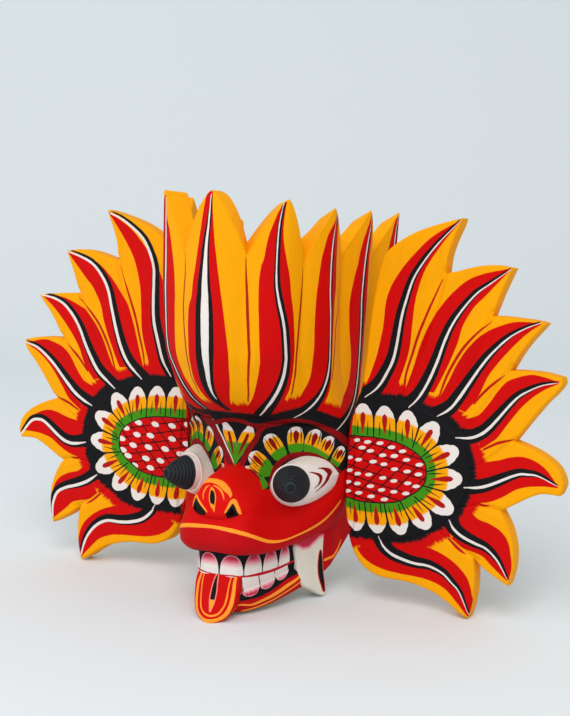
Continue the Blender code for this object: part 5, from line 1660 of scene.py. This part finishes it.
def inside_of(tree, mark):
    """How far inside a mark: a field, a line's half width less the way across, or repeated lines."""
    if isinstance(mark, str):
        return add(tree, "Attribute", out="Fac", attribute_name=mark)
    kind, name, *rest = mark
    if kind == "line":
        across = add(tree, "Attribute", out="Fac", attribute_name=name + "_across")
        across = add(tree, "Math", [across], operation="ABSOLUTE")
        half = add(tree, "Attribute", out="Fac", attribute_name=name + "_half")
        return add(tree, "Math", [half, across], operation="SUBTRACT")
    limit, spacing, offset, half = rest
    at = add(tree, "Attribute", out="Fac", attribute_name=name)
    above_nothing = add(tree, "Math", [at, 500.0 * spacing + offset], operation="ADD")
    across = add(tree, "Math", [above_nothing, spacing / 2], operation="PINGPONG")
    inside = add(tree, "Math", [half, across], operation="SUBTRACT")
    within = add(tree, "Attribute", out="Fac", attribute_name=limit)
    return add(tree, "Math", [inside, within], operation="MINIMUM")


# %% Water paint
# Real sizes in millimetres: a hair's streak is drawn wider than it is, so that it shows
STREAK_WIDTH, STREAK_LENGTH, TREMBLE, CLOUD = 1.818, 20.0, 3.846, 35.71
EDGE_SOFTNESS, TREMBLE_REACH, RAGGED_REACH = 0.16, 0.35, 2.5
STREAK_SHADE, CLOUD_SHADE, PAINT_THICKNESS = 0.22, 0.16, 0.3


def painted(name, ground, coats):
    """Coats over a ground: (mark, colour, how ragged, how wide the dry edge, grown by) for each."""
    material = bpy.data.materials.new("brushed_water_paint_" + name)
    material.use_nodes = True
    tree = material.node_tree
    shader = tree.nodes["Principled BSDF"]
    brush = add(tree, "Attribute", out="Vector", attribute_name="brush")
    scale = (1 / STREAK_WIDTH, 1 / STREAK_LENGTH, 0.0)
    hairs = add(tree, "VectorMath", [brush, scale], operation="MULTIPLY")
    place = add(tree, "TexCoord", out="Object")
    small, broad = 1 / (TREMBLE * MM), 1 / (CLOUD * MM)
    streak, tremble, cloud = (
        add(tree, "TexNoise", {"Vector": at, "Scale": scale, "Detail": detail, "Roughness": rough})
        for at, scale, detail, rough in (
            (hairs, 1.0, 4.0, 0.65), (place, small, 2.0, 0.5), (place, broad, 3.0, 0.5)
        )
    )
    off_streak, off_tremble, off_cloud = (
        add(tree, "Math", [noise, 0.5], operation="SUBTRACT") for noise in (streak, tremble, cloud)
    )
    colour = linear(ground)
    for mark, code, ragged, dry, grown in coats:
        inside = add(tree, "Math", [inside_of(tree, mark), grown], operation="ADD")
        inside = add(tree, "Math", [off_tremble, TREMBLE_REACH, inside], operation="MULTIPLY_ADD")
        if ragged:
            reach = ragged * RAGGED_REACH
            inside = add(tree, "Math", [off_streak, reach, inside], operation="MULTIPLY_ADD")
        soft = max(EDGE_SOFTNESS, dry) / 2
        cover = add(tree, "MapRange", {"Value": inside, "From Min": -soft, "From Max": soft})
        colour = add(tree, "Mix", {0: cover, 6: colour, 7: linear(code)}, out=2, data_type="RGBA")
    shade = add(tree, "Math", [off_streak, STREAK_SHADE, 1.0], operation="MULTIPLY_ADD")
    shade = add(tree, "Math", [off_cloud, CLOUD_SHADE, shade], operation="MULTIPLY_ADD")
    colour = add(tree, "HueSaturation", {"Value": shade, "Color": colour})
    tree.links.new(colour, shader.inputs["Base Color"])
    # Matt: broad, faint highlights, and streaks that catch the light from the side
    shader.inputs["Roughness"].default_value = 0.6
    shader.inputs["Specular IOR Level"].default_value = 0.08
    fine = add(tree, "Math", [tremble, 0.25], operation="MULTIPLY")
    relief = add(tree, "Math", [streak, 0.6, fine], operation="MULTIPLY_ADD")
    bump = add(tree, "Bump", {"Height": relief, "Strength": 0.35, "Distance": PAINT_THICKNESS * MM})
    tree.links.new(bump, shader.inputs["Normal"])
    return material


print("a hair's streak:", STREAK_WIDTH, "by", STREAK_LENGTH, "mm")


# %% Bare wood
# Real sizes in millimetres of the grain's lines and of the gouge's scoops
GRAIN_WIDTH, GRAIN_LENGTH, GOUGE_WIDTH, GOUGE_LENGTH, GOUGE_DEPTH = 2.381, 71.43, 10.53, 26.32, 1.2


def bare_wood():
    """Light unsanded wood: grain along the height, and the shallow scoops of a gouge."""
    material = bpy.data.materials.new("gouged_light_wood")
    material.use_nodes = True
    tree = material.node_tree
    shader = tree.nodes["Principled BSDF"]
    place = add(tree, "TexCoord", out="Object")
    along, scoops = (
        add(tree, "VectorMath", [place, (1 / (w * MM), 1 / (w * MM), 1 / (h * MM))], operation="MULTIPLY")
        for w, h in ((GRAIN_WIDTH, GRAIN_LENGTH), (GOUGE_WIDTH, GOUGE_LENGTH))
    )
    grain = add(tree, "TexNoise", {"Vector": along, "Scale": 1.0, "Detail": 4.0, "Roughness": 0.6})
    gouge = add(tree, "TexVoronoi", {"Vector": scoops, "Scale": 1.0}, feature="SMOOTH_F1")
    colours = {0: grain, 6: linear(BARE_WOOD), 7: linear(WOOD_GRAIN)}
    tree.links.new(add(tree, "Mix", colours, out=2, data_type="RGBA"), shader.inputs["Base Color"])
    # Dull: unsanded wood scatters the light, and the scoops shade softly into each other
    shader.inputs["Roughness"].default_value = 0.62
    relief = add(tree, "Math", [grain, 0.15, gouge], operation="MULTIPLY_ADD")
    bump = add(tree, "Bump", {"Height": relief, "Strength": 0.5, "Distance": GOUGE_DEPTH * MM})
    tree.links.new(bump, shader.inputs["Normal"])
    return material


wood = bare_wood()
print(wood.name, "has", len(wood.node_tree.nodes), "nodes")

# %% [markdown]
# ## The coats, in the painter's order
# A painter lays the broad colours first and the fine lines last, and so do these lists. Each coat
# names its mark and its colour, then three sizes in millimetres: how far the hairs fray its edge,
# how wide the dry edge is, and how much it is grown past its outline.

# %% The wings' paint
wing_paint = painted("flames", YELLOW, (
    (("line", "notch"), NOTCH_RED, 0, 0.3, 0),
    ("ground", RED, 3.2, 2.0, 7.5),
    ("red", RED, 0, 0.25, 0),
    ("ground", BLACK, 2.6, 1.4, 1.2),
    ("black", BLACK, 0.25, 0.4, 0),
    (("line", "white"), WHITE, 0, 0.2, 0),
    ("petals", WHITE, 0, 0.2, 0),
    ("petals_yellow", YELLOW, 0.6, 1.2, 0),
    ("petals_green", GREEN, 0.6, 1.2, 0),
    (("line", "gap"), BLACK, 0, 0.2, 0),
    (("line", "fine"), BLACK, 0, 0.2, 0),
    (("line", "drop"), DROP_RED, 0, 0.2, 0),
    ("oval", BLACK, 0, 0.2, 0.8),
    ("oval", RED, 0, 0.2, 0),
    (("repeat", "hatch_down", "oval", 5.8, 1.5, 0.42), HATCH_RED, 0, 0.2, 0),
    (("repeat", "hatch_up", "oval", 11.0, 2.0, 0.6), HATCH_RED, 0, 0.2, 0),
    ("dots", WHITE, 0, 0.2, 0),
))
for made in wings.values():
    for finish in (wing_paint, wood):
        made.data.materials.append(finish)
print("coats' nodes on a wing:", len(wing_paint.node_tree.nodes))

# %% The head's paint
head_paint = painted("head", BARE_WOOD, (
    ("painted", YELLOW, 3.0, 1.5, 0),
    (("line", "valley"), DEEP_ORANGE, 0, 0.3, 0),
    ("band", RED, 3.5, 2.5, 7.0),
    ("red", RED, 0, 0.25, 0),
    ("band", BLACK, 1.2, 1.5, -0.5),
    ("black", BLACK, 0.15, 0.3, 0),
    (("line", "white"), WHITE, 0, 0.2, 0),
    ("face", RED, 0, 0.3, 0),
    ("wedge", BLACK, 0, 0.3, 0),
    ("wedge_petals", WHITE, 0, 0.2, 0),
    ("wedge_yellow", YELLOW, 0.5, 1.2, 0),
    ("wedge_green", GREEN, 0.5, 1.2, 0),
    (("line", "wedge_drops"), DARK_RED, 0, 0.2, 0),
    ("socket", BLACK, 0, 0.3, 0),
    ("left_rim", DARK_RED, 0, 0.3, 0),
    (("line", "rim"), DARK_RED, 0, 0.3, 0),
    (("line", "wedge_line"), WHITE, 0, 0.2, 0),
    ("eye_petals", WHITE, 0, 0.2, 0),
    ("eye_yellow", YELLOW, 0.5, 1.2, 0),
    ("eye_green", GREEN, 0.5, 1.2, 0),
    (("line", "eye_fine"), BLACK, 0, 0.2, 0),
    (("line", "eye_drops"), DARK_RED, 0, 0.2, 0),
    (("line", "lid"), DARK_RED, 0, 0.3, 0),
    (("line", "ridge"), DARK_RED, 0, 0.3, 0),
    ("lip", LIP_RED, 0, 0.3, 0),
    (("line", "orange"), ORANGE, 0, 0.3, 0),
    (("line", "low"), ORANGE, 0, 0.3, 0),
    (("line", "cheek"), ORANGE, 0, 0.3, 0),
    (("line", "lowest"), ORANGE, 0, 0.3, 0),
    ("mouth", BLACK, 0, 0.3, 0),
    ("upper_teeth", WHITE, 0, 0.2, 0),
    ("upper_gum", GUM_PINK, 1.2, 3.0, 0),
    ("upper_gum", GUM_RED, 1.2, 2.2, -2.4),
    ("lower_teeth", WHITE, 0, 0.2, 0),
    ("lower_gum", GUM_PINK, 1.4, 1.5, 0.8),
    ("lower_gum", GUM_RED, 1.4, 1.2, -0.8),
    (("line", "row"), TOOTH_RED, 0, 0.3, 0),
))
print("coats' nodes on the head:", len(head_paint.node_tree.nodes))

# %% The paint of the parts that stand out
PARTS_PAINT = {
    "nose": painted("nose", NOSE_RED, (
        (("line", "tulip"), ORANGE, 0, 0.3, 0),
        ("nostrils", BLACK, 0, 0.4, 0),
        (("line", "orange"), ORANGE, 0, 0.3, 0),
        ("leaf", ORANGE, 0, 0.3, 0.6),
        ("leaf", BLACK, 0, 0.3, 0),
    )),
    "tongue": painted("tongue", RED, (
        (("line", "inner"), ORANGE, 0, 0.4, 0),
        (("line", "outer"), ORANGE, 0, 0.3, 0),
        ("leaf", PINK, 0, 0.3, 0.6),
        ("leaf", BLACK, 0, 0.3, 0),
        ("leaf_tip", ORANGE, 0, 0.5, 0.3),
    )),
    "tusk": painted("tusk", IVORY, (
        ("gum", GUM_PINK, 1.6, 1.5, 1.5),
        ("gum", GUM_RED, 1.3, 1.0, 0),
        (("line", "leaf"), PINK, 0, 0.4, 1.1),
        (("line", "leaf"), DARK_RED, 0, 0.3, 0.6),
        (("line", "leaf"), BLACK, 0, 0.3, 0),
    )),
    "eyeball": painted("eye", WHITE, (
        ("rim", EYE_PINK, 0, 0.5, 0),
        (("line", "outer"), DARK_RED, 0, 0.2, 0),
        (("line", "inner"), DARK_RED, 0, 0.2, 0),
    )),
    "pupil": painted("pupil", PEG_BLACK, (
        # Lighter rings up the black: painted highlight for the light caught by the knife's rings, not carved
        # in the mesh
        (("repeat", "along", "peg", 1.9, 0.9, 0.3), PEG_RING_HIGHLIGHT, 0.2, 0.7, 0),
        ("foot", WHITE, 0, 0.4, 0),
    )),
    "nostril": painted("nostril", NOSTRIL_DARK, ()),
    "hollow": wood,
}
head_shell.data.materials.append(head_paint)
head_shell.data.materials.append(wood)
for piece in added + cut:
    kind = piece.name.split(".")[0]
    if kind in PARTS_FIELDS:
        points = points_of(piece)
        keep(piece, {**PARTS_FIELDS[kind](points), "brush": points[:, [0, 2, 1]]}, corners=True)
    piece.data.materials.append(PARTS_PAINT[kind])
print("finishes:", sorted(finish.name for finish in bpy.data.materials if finish.node_tree))


# %% [markdown]
# ## One piece of wood
# The real head has no joints, so the parts are not left stuck into it. A Boolean union follows every
# foot exactly and keeps each part's own paint, and the same tool takes out the nostrils. The face's
# broad forms are shaded smooth, and only true edges stay sharp.

# %% One piece of wood
def one_piece(shell_object, added, cut):
    """The shell with every body joined to it and every cutter taken out, moved to its settled place."""
    for piece, operation in [(p, "UNION") for p in added] + [(p, "DIFFERENCE") for p in cut]:
        modifier = shell_object.modifiers.new(piece.name, "BOOLEAN")
        modifier.operation = operation
        modifier.solver = "MANIFOLD"
        modifier.material_mode = "TRANSFER"
        modifier.object = piece
    graph = bpy.context.evaluated_depsgraph_get()
    joined = shell_object.evaluated_get(graph)
    mesh = bpy.data.meshes.new_from_object(joined, preserve_all_data_layers=True, depsgraph=graph)
    for piece in [shell_object, *added, *cut]:
        bpy.data.objects.remove(piece)
    mesh.transform(Matrix.Translation((0.0, SETTLED_Y * MM, 0.0)))
    mesh.name = "carved_head"
    made = bpy.data.objects.new("carved_head", mesh)
    bpy.context.scene.collection.objects.link(made)
    return made


SMOOTH_UNDER = math.radians(42.0)
head = one_piece(head_shell, added, cut)
pieces = {"head": head, **wings}
for name, piece in pieces.items():
    piece.data.shade_smooth()
    piece.data.set_sharp_from_angle(angle=SMOOTH_UNDER)
    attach(piece, "root")
    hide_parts(name)
print("the head:", len(head.data.polygons), "faces")

# %% [markdown]
# ## The table, the light and the camera
# The mask stands on a pale table that sweeps up behind it. Two large soft lights and a bright room
# leave hardly any shadow, and the camera looks a little down at the mask's left from nearly a metre.

# %% The table
FLOOR_REACH, SWEEP_START, SWEEP_RADIUS, SWEEP_HEIGHT = 3.0, 0.9, 0.6, 2.4
CAMERA_AZIMUTH, CAMERA_ELEVATION = 25.66, 8.82
CAMERA_DISTANCE, CAMERA_LENS = 0.847, 68.68
CAMERA_TARGET = Vector((0.0140, SETTLED_Y * MM, 0.1487))


def sweep():
    """A floor that turns up into a wall through a quarter circle."""
    turn = np.radians(np.linspace(0.0, 90.0, 24))
    wall = SWEEP_START + SWEEP_RADIUS
    y = np.concatenate([[-FLOOR_REACH], SWEEP_START + SWEEP_RADIUS * np.sin(turn), [wall]])
    z = np.concatenate([[0.0], SWEEP_RADIUS * (1 - np.cos(turn)), [SWEEP_HEIGHT]])
    line = np.stack([0 * y, y, z], axis=1)
    turned = Matrix.Rotation(math.radians(CAMERA_AZIMUTH), 3, "Z")
    sides = [line + (x, 0.0, 0.0) for x in (-FLOOR_REACH, FLOOR_REACH)]
    points = np.concatenate(sides) @ np.array(turned).T
    return mesh_object("pale_table", points, grid_faces(2, len(y))[:, ::-1])


def paper(name, code):
    """Uncoated paper: one plain matt colour."""
    made = bpy.data.materials.new(name)
    made.use_nodes = True
    shader = made.node_tree.nodes["Principled BSDF"]
    shader.inputs["Base Color"].default_value = linear(code)
    shader.inputs["Roughness"].default_value = 0.9
    return made


table = sweep()
table.data.materials.append(paper("uncoated_white_paper", TABLE_WHITE))
print("the table is", 2 * FLOOR_REACH, "m wide")

# %% The camera
azimuth, elevation = math.radians(CAMERA_AZIMUTH), math.radians(CAMERA_ELEVATION)
level = math.cos(elevation)
back = Vector((math.sin(azimuth) * level, -math.cos(azimuth) * level, math.sin(elevation)))
camera = bpy.data.objects.new("camera", bpy.data.cameras.new("camera"))
camera.data.lens, camera.data.sensor_width, camera.data.clip_start = CAMERA_LENS, 36.0, 0.01
camera.location = CAMERA_TARGET + back * CAMERA_DISTANCE
camera.rotation_euler = (-back).to_track_quat("-Z", "Y").to_euler()
bpy.context.scene.collection.objects.link(camera)
bpy.context.scene.camera = camera
print("the camera stands at", [round(x, 3) for x in camera.location])

# %% The light
LIGHT_TARGET, LIGHT_SIZE, ROOM_LIGHT = Vector((0.0, 0.0, 0.1)), 1.2, 0.68


def light(name, place, power):
    """A square soft light that faces the mask."""
    made = bpy.data.lights.new(name, "AREA")
    made.size, made.energy = LIGHT_SIZE, power
    lamp = bpy.data.objects.new(name, made)
    lamp.location = place
    lamp.rotation_euler = (LIGHT_TARGET - Vector(place)).to_track_quat("-Z", "Y").to_euler()
    bpy.context.scene.collection.objects.link(lamp)


light("key", (0.5, -1.3, 1.5), 19.0)
light("fill", (-1.4, -0.9, 0.7), 6.0)
world = bpy.data.worlds.new("room")
world.use_nodes = True
world.node_tree.nodes["Background"].inputs["Color"].default_value = (1.0, 1.0, 1.0, 1.0)
world.node_tree.nodes["Background"].inputs["Strength"].default_value = ROOM_LIGHT
bpy.context.scene.world = world
bpy.context.scene.view_settings.view_transform = "Standard"
print("lights:", [lamp.name for lamp in bpy.data.lights])
